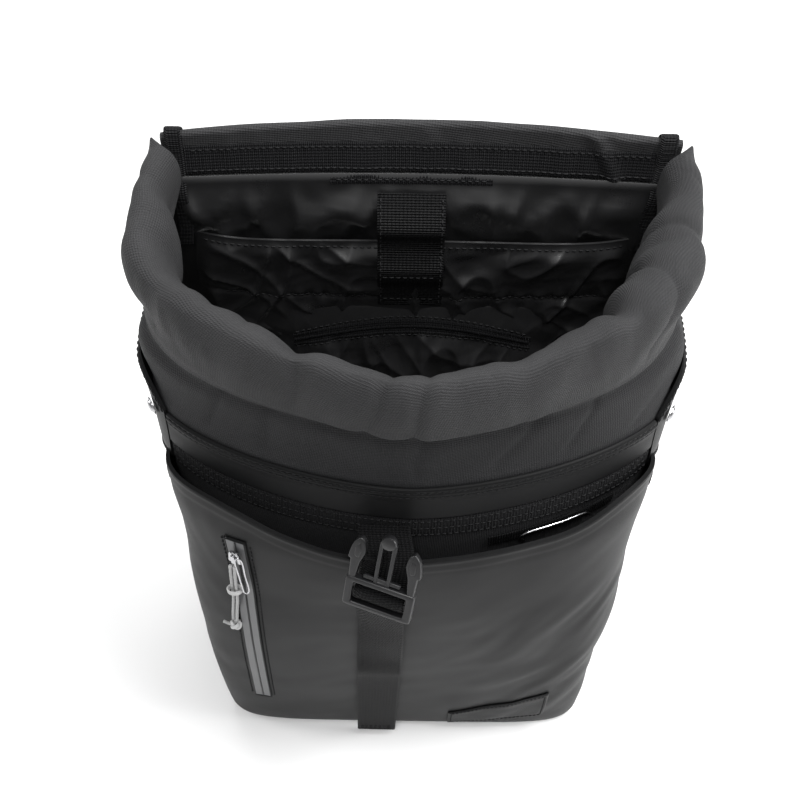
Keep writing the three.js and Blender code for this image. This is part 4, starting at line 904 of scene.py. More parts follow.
def row_of_stitches(line, normals, length=3.0, gap=1.3):
    """Starts, ends and normals of stitches. The normals may be one for each point."""
    line = np.asarray(line, float)
    normals = np.broadcast_to(np.asarray(normals, float), line.shape)
    lengths = lengths_along(line)
    starts_at = np.arange(gap, lengths[-1] - length, length + gap)
    starts = read_along(starts_at, lengths, line)
    ends = read_along(starts_at + length, lengths, line)
    return starts, ends, read_along(starts_at + length / 2, lengths, normals)


def on_wall(along, height, outward):
    """A dense line on the wall with its outward normals."""
    line = wall(along, height, outward)
    further = wall(along, height, np.asarray(outward) + 5.0)
    normals = (further - line) / np.linalg.norm(further - line, axis=-1, keepdims=True)
    return line, normals


STITCHES = []


def stitch(line, normals, length=3.0, gap=1.3):
    STITCHES.append(row_of_stitches(line, normals, length, gap))


def sew(name, slot=WEBBING_SLOT, width=0.75, lift=0.35):
    """One mesh from all the rows that were listed since the last call."""
    parts = [np.concatenate(group) for group in zip(*STITCHES)]
    STITCHES.clear()
    finish_piece(stitch_mesh(name, *parts, width=width, lift=lift), THREAD, slot)


def pocket_dents(along, height):
    along, height = np.broadcast_arrays(np.asarray(along, float), np.asarray(height, float))
    u, v = (along - 0.5) * WALL_LENGTH, height
    right = smooth(10, 90, u) * (1 - smooth(200, 240, v))
    left = smooth(-60, -150, u)
    soft = 1.1 * folds(u, v, 21, 80, 70, 200) + 0.5 * folds(u, v, 22, 30, 40, 90)
    diagonal = (
        1.7 * right * folds(u, v, 23, 58, 26, 120)
        + 0.9 * left * folds(u, v, 24, 110, 30, 120)
    )
    rest = smooth(
        WALL_FOOT, WALL_FOOT + 25, v
    ) * smooth(0, 0.06, along) * (1 - smooth(0.94, 1, along))
    room = np.clip((pocket_out(along, height) - LAYER_GAP) / 4, 0, 1)
    return rest * (soft + diagonal) * (0.25 + 0.75 * room) + rest * 0.3 * (1 - room)


def pocket_edge_sag(along):
    """The mouth of the pocket rises a little towards both corners."""
    u = (np.asarray(along, float) - 0.5) * WALL_LENGTH
    left = 14.0 * bell(u, -116, 42)
    right = 13.0 * bell(u, 134, 36) + 3.0 * bell(u, 60, 30)
    return (left + right) * (1 - smooth(158, 182, np.abs(u)))


def panel_face(along, height):
    """How far the inner face of the pocket's panel stands off the wall."""
    out = pocket_out(along, height)
    dents = np.maximum(pocket_dents(along, height), -out + LAYER_GAP)
    return out + np.clip(dents, -3, 3)


def pocket_surface(along, height):
    """How far the outer face of the pocket's panel stands off the wall."""
    return panel_face(along, height) + PANEL_CLOTH


def make_pocket():
    along = np.linspace(0, 1, 361)[None, :]
    rows = np.r_[np.linspace(0, 0.93, 100), np.linspace(0.938, 1.0, 16)][:, None]
    top = POCKET_TOP + pocket_edge_sag(along)
    heights = WALL_FOOT + (top - WALL_FOOT) * rows
    along = np.broadcast_to(along, heights.shape)
    from_top = top - heights
    bead = np.sqrt(np.clip(1 - ((from_top - 1.4) / 1.4) ** 2, 0, 1)) * (from_top < 2.8)
    hem = 0.25 * smooth(11.0, 9.0, from_top) + 0.4 * bead
    outward = panel_face(along, heights)
    outside = wall(along, heights, outward + PANEL_CLOTH + hem)
    return cloth("pocket_front", outside, wall(along, heights, outward))


def layer_on_wall(name, along, low, high, inner, thickness, rows, relief=None):
    """A strip of cloth on the wall, with soft rounded long edges."""
    share = np.linspace(0, 1, rows)[:, None]
    along = np.asarray(along)[None, :]
    heights = low + (high - low) * share
    along, heights = np.broadcast_arrays(along, heights)
    width = np.mean(high - low)
    edge = np.minimum(share, 1 - share) * width
    outer = inner + thickness * (0.35 + 0.65 * rounding(edge, 1.2))
    if relief is not None:
        outer = outer + relief(along, heights, share)
    return cloth(name, wall(along, heights, outer), wall(along, heights, inner))


BAND_SEAMS, TAB_SEAMS, BINDING_SEAMS = (2.6, 6.4), (2.4, 5.0), (2.2, 8.0, 13.6)


def band_relief(along, heights, share):
    """A raised fold along the top of the band, with a groove under each seam."""
    from_top = BAND_TOP - heights
    first, second = BAND_SEAMS
    groove = -0.45 * bell(from_top, first, 0.7) - 0.45 * bell(from_top, second, 0.7)
    fold = 0.7 * bell(from_top, 4.5, 3.2)
    soft = 0.35 * folds(along * WALL_LENGTH, heights, 31, 10, 30, 90)
    return fold + groove + soft - 0.1


def tape_relief(along, heights, share):
    ribs = 0.16 * np.sin(along * WALL_LENGTH * 2 * np.pi / 1.9)
    return ribs - 0.22 * bell(share, 0.5, 0.06) - 0.2 * bell(share, 0.15, 0.05)


BAND_ALONG = np.linspace(BAND_END, 1 - BAND_END, 400)
TAB_EDGE = BAND_END - 1.1 / (BASE_WIDTH + 2 * BASE_DEPTH)
finish_piece(make_pocket(), COATED, COATED_SLOT, "pocket_panel")
band_foot = BINDING_TOP + LAYER_GAP
band = layer_on_wall(
    "front_band_cloth", BAND_ALONG, band_foot, BAND_TOP, LAYER_GAP, BAND_CLOTH, 42, band_relief
)
finish_piece(band, COATED, COATED_SLOT, "front_band")
ribs_along = np.linspace(BAND_END, 1 - BAND_END, 1400)
binding = layer_on_wall(
    "front_binding_tape", ribs_along, BINDING_BOTTOM, BINDING_TOP, LAYER_GAP, TAPE_CLOTH, 16,
    tape_relief,
)
finish_piece(binding, TAPE, WEBBING_SLOT, "front_binding")
for side, name in ((-1, "left"), (1, "right")):
    reach = np.linspace(0, 1, 120)
    place = reach * TAB_EDGE
    top = TAB_TOP - (TAB_TOP - BAND_TOP - 3) * reach**4
    along = place if side < 0 else 1 - place[::-1]
    high = top if side < 0 else top[::-1]
    tab = layer_on_wall(
        f"tab_{name}", along, BINDING_BOTTOM, high[None, :], TAB_GAP, BAND_CLOTH, 40
    )
    finish_piece(tab, COATED, COATED_SLOT, f"side_tab_{name}")
    for inset in TAB_SEAMS:
        line, normals = on_wall(along, high - inset, TAB_GAP + BAND_CLOTH)
        stitch(line, normals, 2.6, 1.1)

dense = np.linspace(BAND_END + 0.002, 1 - BAND_END - 0.002, 1500)
for drop in BAND_SEAMS:
    stitch(*on_wall(dense, BAND_TOP - drop, LAYER_GAP + BAND_CLOTH - 0.1), 2.7, 1.2)
for rise in BINDING_SEAMS:
    stitch(*on_wall(dense, BINDING_BOTTOM + rise, LAYER_GAP + TAPE_CLOTH - 0.05), 2.4, 1.2)
sew("band_stitches")

for centre in (POCKET_MOUTH_END + 0.012, 1 - POCKET_MOUTH_END - 0.012):
    for offset in np.linspace(-0.0022, 0.0022, 5):
        tack = np.full(40, centre + offset)
        climb = np.linspace(POCKET_TOP - 15, POCKET_TOP - 3, 40)
        stitch(*on_wall(tack, climb, pocket_surface(tack, climb) + 0.55), 1.6, 0.3)
sew("pocket_stitches")
print("pocket, band, binding and tabs made")

# %% [markdown]
# ## Rolled collar
#
# The roll is one sheet that leaves the wall at the crease, goes over the crest and
# turns down and under inside. Its section is a smooth line through a short table.
# `PINCHES` squeeze the whole section, as in the CAD. `DENTS` are single pressed-in
# places: share along the wall, place round the section (0 outside foot, 1 inside
# foot), depth, and reach in both directions.

# %% Rolled collar
PINCHES = [
    (0.17, 0.16, 0.025), (0.36, 0.1, 0.02), (0.62, 0.1, 0.02), (0.76, 0.22, 0.02),
    (0.89, 0.16, 0.025)
]
DENTS = [
    (0.245, 0.62, 4.5, 10, 0.16),
    (0.275, 0.38, 2.5, 14, 0.14),
    (0.41, 0.86, 4.5, 12, 0.12),
    (0.46, 0.72, 2.2, 22, 0.2),
    (0.585, 0.84, 4.5, 13, 0.12),
    (0.655, 0.7, 3.0, 12, 0.2),
    (0.715, 0.82, 8.0, 9, 0.22),
    (0.765, 0.8, 8.5, 8, 0.2),
    (0.815, 0.78, 8.0, 8, 0.2),
    (0.845, 0.72, 6.0, 7, 0.2),
    (0.7, 0.3, 2.6, 20, 0.16),
    (0.36, 0.3, 2.0, 24, 0.16),
    (0.13, 0.7, 3.0, 14, 0.2),
]
ROLL_STEPS, ROUND_STEPS = 400, 72
ROLL_GIRTH, FRONT_SQUEEZE, UNDER_LIFT = 75.0, 0.62, 6.0


def smoothed_directions(places):
    """Outward direction of the roll, eased round the corners as in the CAD."""
    offsets = np.linspace(-5, 5, 21) / 36
    total = np.zeros((len(places), 2))
    for offset in offsets:
        at = np.clip(places + offset, 0, 1)
        total += (wall(at, crease(at), 1.0) - wall(at, crease(at), 0.0))[:, :2]
    return total / np.linalg.norm(total, axis=1, keepdims=True)


def roll_face(depth):
    """The sheet of the roll, moved this deep into its own cloth."""
    places = np.linspace(0, 1, ROLL_STEPS)
    section = np.array([(0.0, 0.0)] + ROLL_SECTION + [(0.72, -0.02), (0.45, 0.03)])
    around = np.linspace(0, 1, ROUND_STEPS)
    read = lambda column: read_table(ROLL_COLUMNS, ROLL_ROWS, column, places)
    foot = crease(places) + LAYER_GAP
    rise = BODY_HEIGHT - read("crest") * COLLAR_DROP - foot
    over, width = read("over") * ROLL_WIDTH, read("width") * ROLL_WIDTH
    width = width + 11.0 * np.clip(1 - np.minimum(places, 1 - places) / 0.06, 0, 1)
    pinch = sum(deep * np.exp(-(((places - at) / reach) ** 2)) for at, deep, reach in PINCHES)
    directions = smoothed_directions(places)
    base = wall(places, crease(places))
    grid = np.zeros((ROLL_STEPS, len(around), 3))
    for index in range(ROLL_STEPS):
        squeeze = 1 - pinch[index] * section[:, 1]
        u = over[index] - section[:, 0] * width[index] * squeeze
        z = rise[index] * section[:, 1] * (1 - pinch[index] * 0.3)
        u[0], z[0] = 0.0, 0.0
        flat = np.stack([u, z, np.zeros(len(u))], -1)
        line = smooth_line(flat, len(around))[:, :2]
        reach, crown = max(line[:, 0].max(), 1e-3), line[:, 1].max()
        front = np.clip((line[:, 0] + 4) / (reach + 4), 0, 1)
        front = front * np.clip(1 - line[:, 1] / (0.85 * crown), 0, 1)
        lift = UNDER_LIFT * front * (line[:, 1] > 0.5) * smooth(0, 0.1, places[index])
        line[:, 1] += lift * (1 - smooth(0.9, 1, places[index]))
        line[:, 0] = np.where(line[:, 0] > 0, line[:, 0] * FRONT_SQUEEZE, line[:, 0])
        tangent = np.gradient(line, axis=0)
        tangent /= np.linalg.norm(tangent, axis=1, keepdims=True)
        normal = np.stack([tangent[:, 1], -tangent[:, 0]], -1) * -1.0
        at = places[index] * WALL_LENGTH
        girth, here = around * ROLL_GIRTH, np.full(ROUND_STEPS, at)
        soft = (
            1.7 * folds(here, girth, 41, 35, 45, 120)
            + 0.55 * folds(here, girth, 43, 100, 16, 60)
        )
        twist = -2.3 * creases(here, girth, 44, 55, 44, 130)
        press = sum(
            -deep * np.exp(
                -(((at - share * WALL_LENGTH) / reach) ** 2)
                - (((around - place) / wide) ** 2)
            )
            for share, place, deep, reach, wide in DENTS
        )
        ends = smooth(0.0, 0.07, places[index]) * (1 - smooth(0.93, 1.0, places[index]))
        calm = smooth(0.0, 0.12, around)
        outward = (soft + twist) * ends * calm + press * ends
        moved = line[:, :2] - normal * (outward - depth)[:, None]
        moved[:, 1] = np.maximum(moved[:, 1], 0.0)
        grid[index, :, :2] = base[index, :2] + directions[index] * moved[:, :1]
        grid[index, :, 2] = foot[index] + moved[:, 1]
    first, last = grid[:1].copy(), grid[-1:].copy()
    for end, sign in ((first, 1), (last, -1)):
        end[..., 1] += BACK_PADDING - COLLAR_CLOTH
        reach = sign * (end[..., 0] - end[:, :1, 0])
        end[..., 0] -= sign * np.where(reach > 0, reach * 0.7, 0)
    return np.concatenate([first, grid, last])


outer_roll = roll_face(0.0)
inner_roll = roll_face(ROLL_CLOTH)
roll = cloth("rolled_collar", outer_roll, inner_roll)
finish_piece(roll, WOVEN, BLACK_FABRIC, "collar_roll")
roll_points = outer_roll.reshape(-1, 3)
print("roll made, box", np.round(roll_points.min(0)), np.round(roll_points.max(0)))

# %% [markdown]
# ## Back panel and folded collar
#
# The padded back is one thick slab with rounded edges and a sewn channel along its
# border. The channel is pressed into the mesh, because a bump would not change the
# outline. At its top the outer fabric is folded to the inside as a strip, which is
# slack and carries soft upright dents. The ribbed tape and the short reinforcing strip
# lie on it.

# %% Back panel and folded collar


def collar_front(x, height):
    share = np.clip((np.asarray(height) - PANEL_TOP) / COLLAR_SLOPE, 0, 1)
    return BACK_FACE - BACK_PADDING + (BACK_PADDING - COLLAR_CLOTH) * share + bow(x, height)


COLLAR_HALF = float(
    read_table(WALL_COLUMNS, WALL_ROWS, "back_half", 1.0) * WALL_HALF
    - ROLL_WIDTH * 0.14
)


def upright(name, xs, zs, front, back, sharp=50):
    """A sheet over x and z, with y from two functions."""
    x, z = np.meshgrid(np.asarray(xs, float), np.asarray(zs, float), indexing="ij")
    near = np.stack([x, front(x, z), z], -1)
    far = np.stack([x, back(x, z), z], -1)
    return cloth(name, near, far, sharp)


def make_back_panel():
    share = np.linspace(-1, 1, 121)[:, None]
    heights = np.linspace(WALL_FOOT, PANEL_TOP, 150)[None, :]
    back_half = read_table(WALL_COLUMNS, WALL_ROWS, "back_half", heights / BODY_HEIGHT)
    half = back_half * WALL_HALF + PANEL_CLOTH + LAYER_GAP
    x = share * half
    z = np.broadcast_to(heights, x.shape)
    side = (1 - np.abs(share)) * half
    ends = np.minimum(z - WALL_FOOT, PANEL_TOP - z)
    near_edge = np.minimum(side, ends + 3)
    round_edge = 4.0 * (1 - rounding(near_edge, 4.0))
    channel = 1.6 * bell(np.minimum(side, ends), 12, 2.2) * (side > 6) * (ends > 6)
    plump = 0.5 * noise(x / 40, z / 55, 51) * smooth(6, 30, side) * smooth(6, 30, ends)
    upper_end = 1 - smooth(PANEL_TOP - 130, PANEL_TOP - 100, z)
    middle = 1.8 * bell(x, 0, 5.0) * smooth(40, 70, z) * upper_end
    back = BACK_FACE + bow(x, z) - round_edge - channel - middle + np.minimum(plump, 0)
    front = BACK_FACE - BACK_PADDING + bow(x, z) + 0.6 * (1 - smooth(0, 3, side))
    return cloth("padded_back", np.stack([x, back, z], -1), np.stack([x, front, z], -1), 60)


def collar_dents(x, z):
    soft = 1.5 * folds(z, x, 61, 90, 90, 22) + 0.9 * noise(x / 46, z / 30, 62)
    fold = 3.0 * bell(x - 108 + (z - PANEL_TOP) * 0.5, 0, 5.0) - 1.4 * bell(x, 96, 8.0)
    room = smooth(PANEL_TOP, PANEL_TOP + 5, z) * (1 - smooth(BODY_HEIGHT - 2, BODY_HEIGHT + 3, z))
    return (soft * 0.6 + fold) * room * (1 - smooth(COLLAR_HALF - 22, COLLAR_HALF - 8, np.abs(x)))


def make_collar():
    share = np.linspace(-1, 1, 241)[:, None]
    x = share * COLLAR_HALF
    crown = BODY_HEIGHT + BACK_CROWN * (1 - share**2) + 0.7 * noise(x / 38, 0.5, 63)
    crown = np.minimum(crown, BODY_HEIGHT + BACK_CROWN)
    turn = np.sin(np.linspace(0.1, 1, 12) * np.pi / 2)
    rows = np.r_[np.linspace(0, 0.84, 22), 1 - 0.16 * (1 - turn)][None, :]
    low = PANEL_TOP + LAYER_GAP
    z = low + (crown - low) * rows
    x = np.broadcast_to(x, z.shape)
    top = np.clip((z - (crown - 2.6)) / 2.6, 0, 1)
    pulled = (1 - np.sqrt(np.clip(1 - top**2, 0, 1))) * 0.49
    inside, outside = collar_front(x, z), BACK_FACE + bow(x, z)
    gap = outside - inside
    dents = -collar_dents(x, z)
    front = inside + gap * pulled + np.minimum(dents, 0.0)
    back = outside - gap * pulled + 0.4 * noise(x / 30, z / 30, 64) * (1 - top)
    return cloth("folded_collar", np.stack([x, back, z], -1), np.stack([x, front, z], -1), 60)


def collar_place(x, z, forward):
    return np.stack([x, collar_front(x, z) - np.maximum(collar_dents(x, z), 0) - forward, z], -1)


def collar_tape(name, left, right, low, high, forward=LAYER_GAP):
    """A ribbed tape along the inner rim."""
    xs = np.linspace(left, right, int((right - left) * 2.2))[:, None]
    share = np.linspace(0, 1, 18)[None, :]
    z = low + (high - low) * share + 0 * xs
    x = np.broadcast_to(xs, z.shape)
    ribs = 0.17 * np.sin(x * 2 * np.pi / 1.9)
    edge = np.minimum(share, 1 - share) * (high - low)
    body = TAPE_CLOTH * (0.4 + 0.6 * rounding(edge, 1.0))
    return cloth(name, collar_place(x, z, forward + body + ribs), collar_place(x, z, forward))


finish_piece(make_back_panel(), WOVEN, BLACK_FABRIC, "back_panel")
finish_piece(make_collar(), WOVEN, BLACK_FABRIC, "back_collar")
STRIP_HALF = COLLAR_HALF - 2.5 - 9.0 - LAYER_GAP
rim_tape = collar_tape(
    "rim_tape_ribbed", -STRIP_HALF, STRIP_HALF, PANEL_TOP + 6, PANEL_TOP + 21
)
finish_piece(rim_tape, TAPE, WEBBING_SLOT, "rim_tape")
PATCH_OUT = LAYER_GAP + 1.5
rim_patch = collar_tape("rim_strip_short", -47, 42, PANEL_TOP + 0.4, PANEL_TOP + 5.6, PATCH_OUT)
finish_piece(rim_patch, TAPE, WEBBING_SLOT, "rim_patch")


def rim_row(z, left, right, forward):
    x = np.linspace(left, right, 1200)
    line = collar_place(x, np.full(x.shape, z), forward)
    stitch(line, (0.0, -1.0, 0.15), 2.6, 1.2)


for rise in (8.2, 18.8):
    rim_row(PANEL_TOP + rise, -STRIP_HALF + 2, STRIP_HALF - 2, LAYER_GAP + TAPE_CLOTH)
rim_row(PANEL_TOP + 3.0, -45, 40, PATCH_OUT + TAPE_CLOTH)
sew("rim_stitches")
print("back panel and collar made")

# %% [markdown]
# ## Lining, sleeve and inner pouch
#
# The lining is thin satin. It crumples in folds of several sizes, and they are what
# makes its highlights. The laptop sleeve is one sheet sewn to the lining at both
# sides, with a row of stitches along its top. The gathered pouch sits on it, closed by an arched
# zip, and is puckered along its upper seam.

# %% Lining, sleeve and inner pouch


def lining_back(x, height):
    return BACK_FACE - BACK_PADDING - 1.5 * LAYER_GAP + bow(x, height)


def crumple(u, v, seed, size=1.0):
    """Satin crumples, always towards the inside of the bag: from 0 to about 4 mm."""
    wide = folds(u, v, seed, 35, 34, 80) * 1.5
    narrow = creases(u, v, seed + 3, 70, 26, 60) * 1.5 + creases(u, v, seed + 5, 140, 30, 70) * 1.2
    fine = folds(u, v, seed + 8, 15, 9, 22) * 0.35
    return np.clip(size * (1.9 + 1.5 * wide + 1.5 * narrow + 1.3 * fine), 0.1, 7.5)


LINING_SLANT = 1.4


def lining_ring(height_row, columns, base_inset, wrinkle):
    """One ring of the tub, from its floor (0) to its top edge (1)."""
    along = np.linspace(0, 1, columns)
    top = crease(along) - 2
    heights = WALL_FOOT + LAYER_GAP + (top - WALL_FOOT - LAYER_GAP) * height_row
    inset = base_inset + np.maximum(-upper_dents(along, heights), 0)
    outward = -WALL_CLOTH - LAYER_GAP - inset
    if wrinkle:
        fade = smooth(0, 0.05, height_row) * (1 - smooth(0.94, 0.985, height_row))
        outward = outward - crumple(along * WALL_LENGTH, heights, 81) * fade
    place = wall(along, heights, outward)
    place[:, 1] = np.minimum(place[:, 1], lining_back(place[:, 0], heights) - base_inset)
    back_height = WALL_FOOT + LAYER_GAP + (PANEL_TOP + 6.2 - WALL_FOOT - LAYER_GAP) * height_row
    half = place[-1, 0]
    x = np.linspace(half, place[0, 0], 122)[1:-1]
    z = np.full(x.shape, back_height)
    y = lining_back(x, z) - base_inset
    if wrinkle:
        fade = smooth(0, 0.05, height_row) * (1 - smooth(0.955, 0.99, height_row))
        fade = fade * smooth(0, 12, COLLAR_HALF - np.abs(x))
        y = y - crumple(x, z, 84, 1.2) * fade * smooth(SLEEVE_TOP - 26, SLEEVE_TOP + 2, z)
    return np.concatenate([place, np.stack([x, y, z], -1)])


def make_lining():
    rows = np.linspace(0, 1, 96)
    outer = np.array([lining_ring(row, 241, 0.0, False) for row in rows])[::-1]
    inner = np.array([lining_ring(row, 241, LINING_CLOTH, True) for row in rows])
    inner[0, :, 2] = WALL_FOOT + LAYER_GAP + LINING_CLOTH
    inner[-1, :, 2] -= LINING_SLANT
    rings = np.concatenate([outer, inner])
    count = rings.shape[1]
    vertices = rings.reshape(-1, 3)
    centres = np.array([[0, 0, rings[len(rows) - 1, 0, 2]], [0, 0, rings[len(rows), 0, 2]]])
    body = grid_faces(len(rings), count, closed=True)
    keep = np.ones(len(body), bool)
    start = (len(rows) - 1) * count
    keep[start : start + count] = False
    body = body[keep]
    k = np.arange(count)
    last = (len(rings) - 1) * count
    rim = np.stack([last + k, k, (k + 1) % count, last + (k + 1) % count], -1)
    hub = len(vertices)
    under = [[start + (i + 1) % count, start + i, hub] for i in range(count)]
    floor = [[start + count + i, start + count + (i + 1) % count, hub + 1] for i in range(count)]
    vertices = np.concatenate([vertices, centres])
    quads = np.concatenate([body, rim])
    faces = quads.tolist() + under + floor
    volume = 0.0
    for face in faces:
        for j in range(1, len(face) - 1):
            a, b, c = vertices[[face[0], face[j], face[j + 1]]]
            volume += float(np.dot(a, np.cross(b, c)))
    if volume < 0:
        faces = [face[::-1] for face in faces]
    lengths = lengths_along(rings[len(rows) - 5]) / 100
    on_rings = np.stack([np.tile(lengths, len(rings)), vertices[:-2, 2] / 100], -1)
    uvs = np.concatenate([on_rings, np.zeros((2, 2))])
    return add_object("satin_tub", vertices, faces, uvs, 60)


def sleeve_back(x, height):
    edge = 1 - np.clip(np.abs(x) / SLEEVE_HALF, 0, 1) ** 6
    foot = smooth(SLEEVE_BOTTOM, SLEEVE_BOTTOM + 60, height)
    return (
        lining_back(x, height)
        - LINING_CLOTH
        - LAYER_GAP
        - (SLEEVE_STANDOFF - LAYER_GAP) * edge * foot
    )


SLEEVE_SEAM = 374.0


def sleeve_wrinkles(x, z):
    middle = smooth(0, 10, SLEEVE_HALF - np.abs(x))
    hem = smooth(0, 11, SLEEVE_TOP - z)
    ripple = 1.1 * np.sin(x / 1.9 + 2 * noise(x / 20, 0.5, 95))
    pucker = ripple * bell(z, SLEEVE_SEAM, 5.0) * (np.abs(x) > 24)
    seam = 1.6 * bell(z, SLEEVE_SEAM, 1.6)
    loose = crumple(x, z, 88, 1.0) * hem
    return middle * (loose + 0.7 * pucker - seam * 0.6) + 0.5


def sleeve_face(x, z):
    return sleeve_back(x, z) - LINING_CLOTH - np.maximum(sleeve_wrinkles(x, z), 0.0)


def sleeve_rear(x, z):
    return sleeve_back(x, z) - np.maximum(sleeve_wrinkles(x, z) - 0.1, 0) * 0.9


def make_sleeve():
    xs = np.linspace(-SLEEVE_HALF, SLEEVE_HALF, 300)
    zs = np.r_[np.linspace(SLEEVE_BOTTOM, 260, 60), np.linspace(263, SLEEVE_TOP, 150)]
    return upright("sleeve", xs, zs, sleeve_face, sleeve_rear)


def pouch_out(x, height):
    up = (height - POUCH_BOTTOM) / (POUCH_TOP - POUCH_BOTTOM)
    across = 1 - np.clip(np.abs(x) / POUCH_HALF, 0, 1) ** 3
    belly = np.sin(np.pi * np.clip(up, 0, 1) ** 0.8) ** 0.8
    return sleeve_back(x, height) - LINING_CLOTH - LAYER_GAP - 1.6 - POUCH_DEPTH * across * belly


def zip_height(x):
    return POUCH_TOP - INNER_ZIP_DROP + INNER_ZIP_RISE * (1 - (np.asarray(x) / INNER_ZIP_HALF) ** 2)


def pouch_face(x, z):
    up = np.clip((z - POUCH_BOTTOM) / (POUCH_TOP - POUCH_BOTTOM), 0, 1)
    across = 1 - np.clip(np.abs(x) / POUCH_HALF, 0, 1) ** 4
    middle = np.sin(np.pi * up) ** 0.5 * across * smooth(1, 18, POUCH_TOP - z)
    under = smooth(40, 4, zip_height(x) - z - 8)
    gather = 2.2 * folds(x, z, 101, 86, 13, 60) * under * (z < zip_height(x) + 2)
    above = 1.0 * np.sin(x / 2.1 + 2 * noise(x / 18, 0.2, 103)) * smooth(12, 4, POUCH_TOP - z)
    loose = crumple(x, z, 104, 0.9)
    near_zip = bell(z - zip_height(x), 4, 6.0)
    return pouch_out(x, z) - middle * ((gather + loose) * (1 - 0.85 * near_zip) + above) - 0.2


def pouch_back(x, z):
    thickness = 0.95 * smooth(0.0, 7.0, POUCH_TOP - z)
    return np.maximum(pouch_face(x, z), pouch_out(x, z)) + 0.05 + thickness


def make_pouch():
    xs = np.linspace(-POUCH_HALF, POUCH_HALF, 230)
    zs = np.linspace(POUCH_BOTTOM, POUCH_TOP, 170)
    return upright("gathered_pouch", xs, zs, pouch_face, pouch_back)


finish_piece(make_lining(), SATIN, SATIN_SLOT, "lining")
finish_piece(make_sleeve(), SATIN, SATIN_SLOT, "laptop_sleeve")
finish_piece(make_pouch(), SATIN, SATIN_SLOT, "inner_pouch")


def inside_row(x, z, face, lift=0.1):
    line = np.stack([x, face(x, z) - lift, z], -1)
    stitch(line, (0.0, -1.0, 0.0), 2.6, 1.3)


x = np.linspace(-SLEEVE_HALF + 3, SLEEVE_HALF - 3, 1500)
inside_row(x, np.full(x.shape, SLEEVE_TOP - 3.6), sleeve_face)
for left, right in ((-110, -24), (20, 110)):
    x = np.linspace(left, right, 700)
    inside_row(x, np.full(x.shape, SLEEVE_SEAM), sleeve_face)
for offset in (-1.8, 9.8):
    x = np.linspace(-INNER_ZIP_HALF, INNER_ZIP_HALF, 1200)
    inside_row(x, zip_height(x) + offset, pouch_face, 0.2)
sew("inner_stitches", SATIN_SLOT)
print("lining, sleeve and pouch made")

# %% [markdown]
# ## Webbing
#
# `webbing` sweeps a flat band along a line. Its two faces carry a real woven relief:
# straight ribs, or a herringbone of slanting ribs whose direction turns every few
# millimetres. The long edges are thinner, like a selvedge.

# %% Webbing


WEB_RELIEF = 0.17


def webbing(name, line, sides, width, thickness, pattern, step=0.8, columns=25):
    """line: points, sides: unit vectors across, one for each point or one for all."""
    line = np.asarray(line, float)
    count = max(int(line_length(line) / step), 8)
    sides = np.broadcast_to(np.asarray(sides, float), line.shape)
    lengths = lengths_along(line)
    places = np.linspace(0, lengths[-1], count)
    centre, across = (read_along(places, lengths, values) for values in (line, sides))
    tangent = np.gradient(centre, axis=0)
    tangent /= np.linalg.norm(tangent, axis=1, keepdims=True)
    across -= tangent * np.einsum("ij,ij->i", across, tangent)[:, None]
    across /= np.linalg.norm(across, axis=1, keepdims=True)
    normal = np.cross(tangent, across)
    share = np.linspace(-1, 1, columns)
    w = share[None, :] * width / 2
    s = places[:, None]
    if pattern == "herringbone":
        slant = np.abs((w + 300) % 8 - 4)
        ribs = np.sin(2 * np.pi * (s + slant) / 2.1)
    else:
        ribs = np.sin(2 * np.pi * s / 1.9)
    edge = np.clip((1 - np.abs(share)) * width / 2 / 1.4, 0, 1)[None, :]
    woven = WEB_RELIEF * (ribs * edge - 1) * 0.5
    body = thickness / 2 * (0.45 + 0.55 * rounding(edge, 1.0)) + woven
    out = normal[:, None] * body[..., None]
    flat = centre[:, None] + across[:, None] * w[..., None]
    return cloth(name, flat + out, flat - out, 70)


def webbing_row(line, sides, normal, offset, lift, start=0.0, end=1.0):
    """Stitches that run lengthwise on a webbing, offset sideways from its middle."""
    line = np.asarray(line, float)
    sides = np.broadcast_to(np.asarray(sides, float), line.shape)
    normal = np.broadcast_to(np.asarray(normal, float), line.shape)
    dense = resample(line, 400)
    lengths = np.linspace(0, 1, len(line))
    places = np.linspace(0, 1, 400)
    side, up = (read_along(places, lengths, values) for values in (sides, normal))
    keep = (places >= start) & (places <= end)
    stitch((dense + side * offset + up * lift)[keep], up[keep], 2.6, 1.2)


def across_row(middle, half, forward, lift, count, length, gap=1.1):
    """Stitches straight across a webbing, at one point of it."""
    row = middle + np.linspace(-half, half, count)[:, None] * np.array((1.0, 0, 0))
    stitch(row + np.asarray(forward) * lift, forward, length, gap)


INNER_STRAP_X, INNER_STRAP_TOP, INNER_STRAP_WAVE = -2.0, BODY_HEIGHT - 31, 10.0
INNER_STRAP_BOTTOM = POUCH_TOP + 2
INNER_STRAP_SHAPE = [
    (0.0, -0.62),
    (0.1, 0.1),
    (0.22, 0.62),
    (0.34, 0.34),
    (0.45, 0.38),
    (0.56, 0.85),
    (0.66, 0.8),
    (0.78, 0.45),
    (0.9, 0.3),
    (1.0, 0.28),
]


def sleeve_front(x, height):
    return sleeve_back(x, height) - LINING_CLOTH


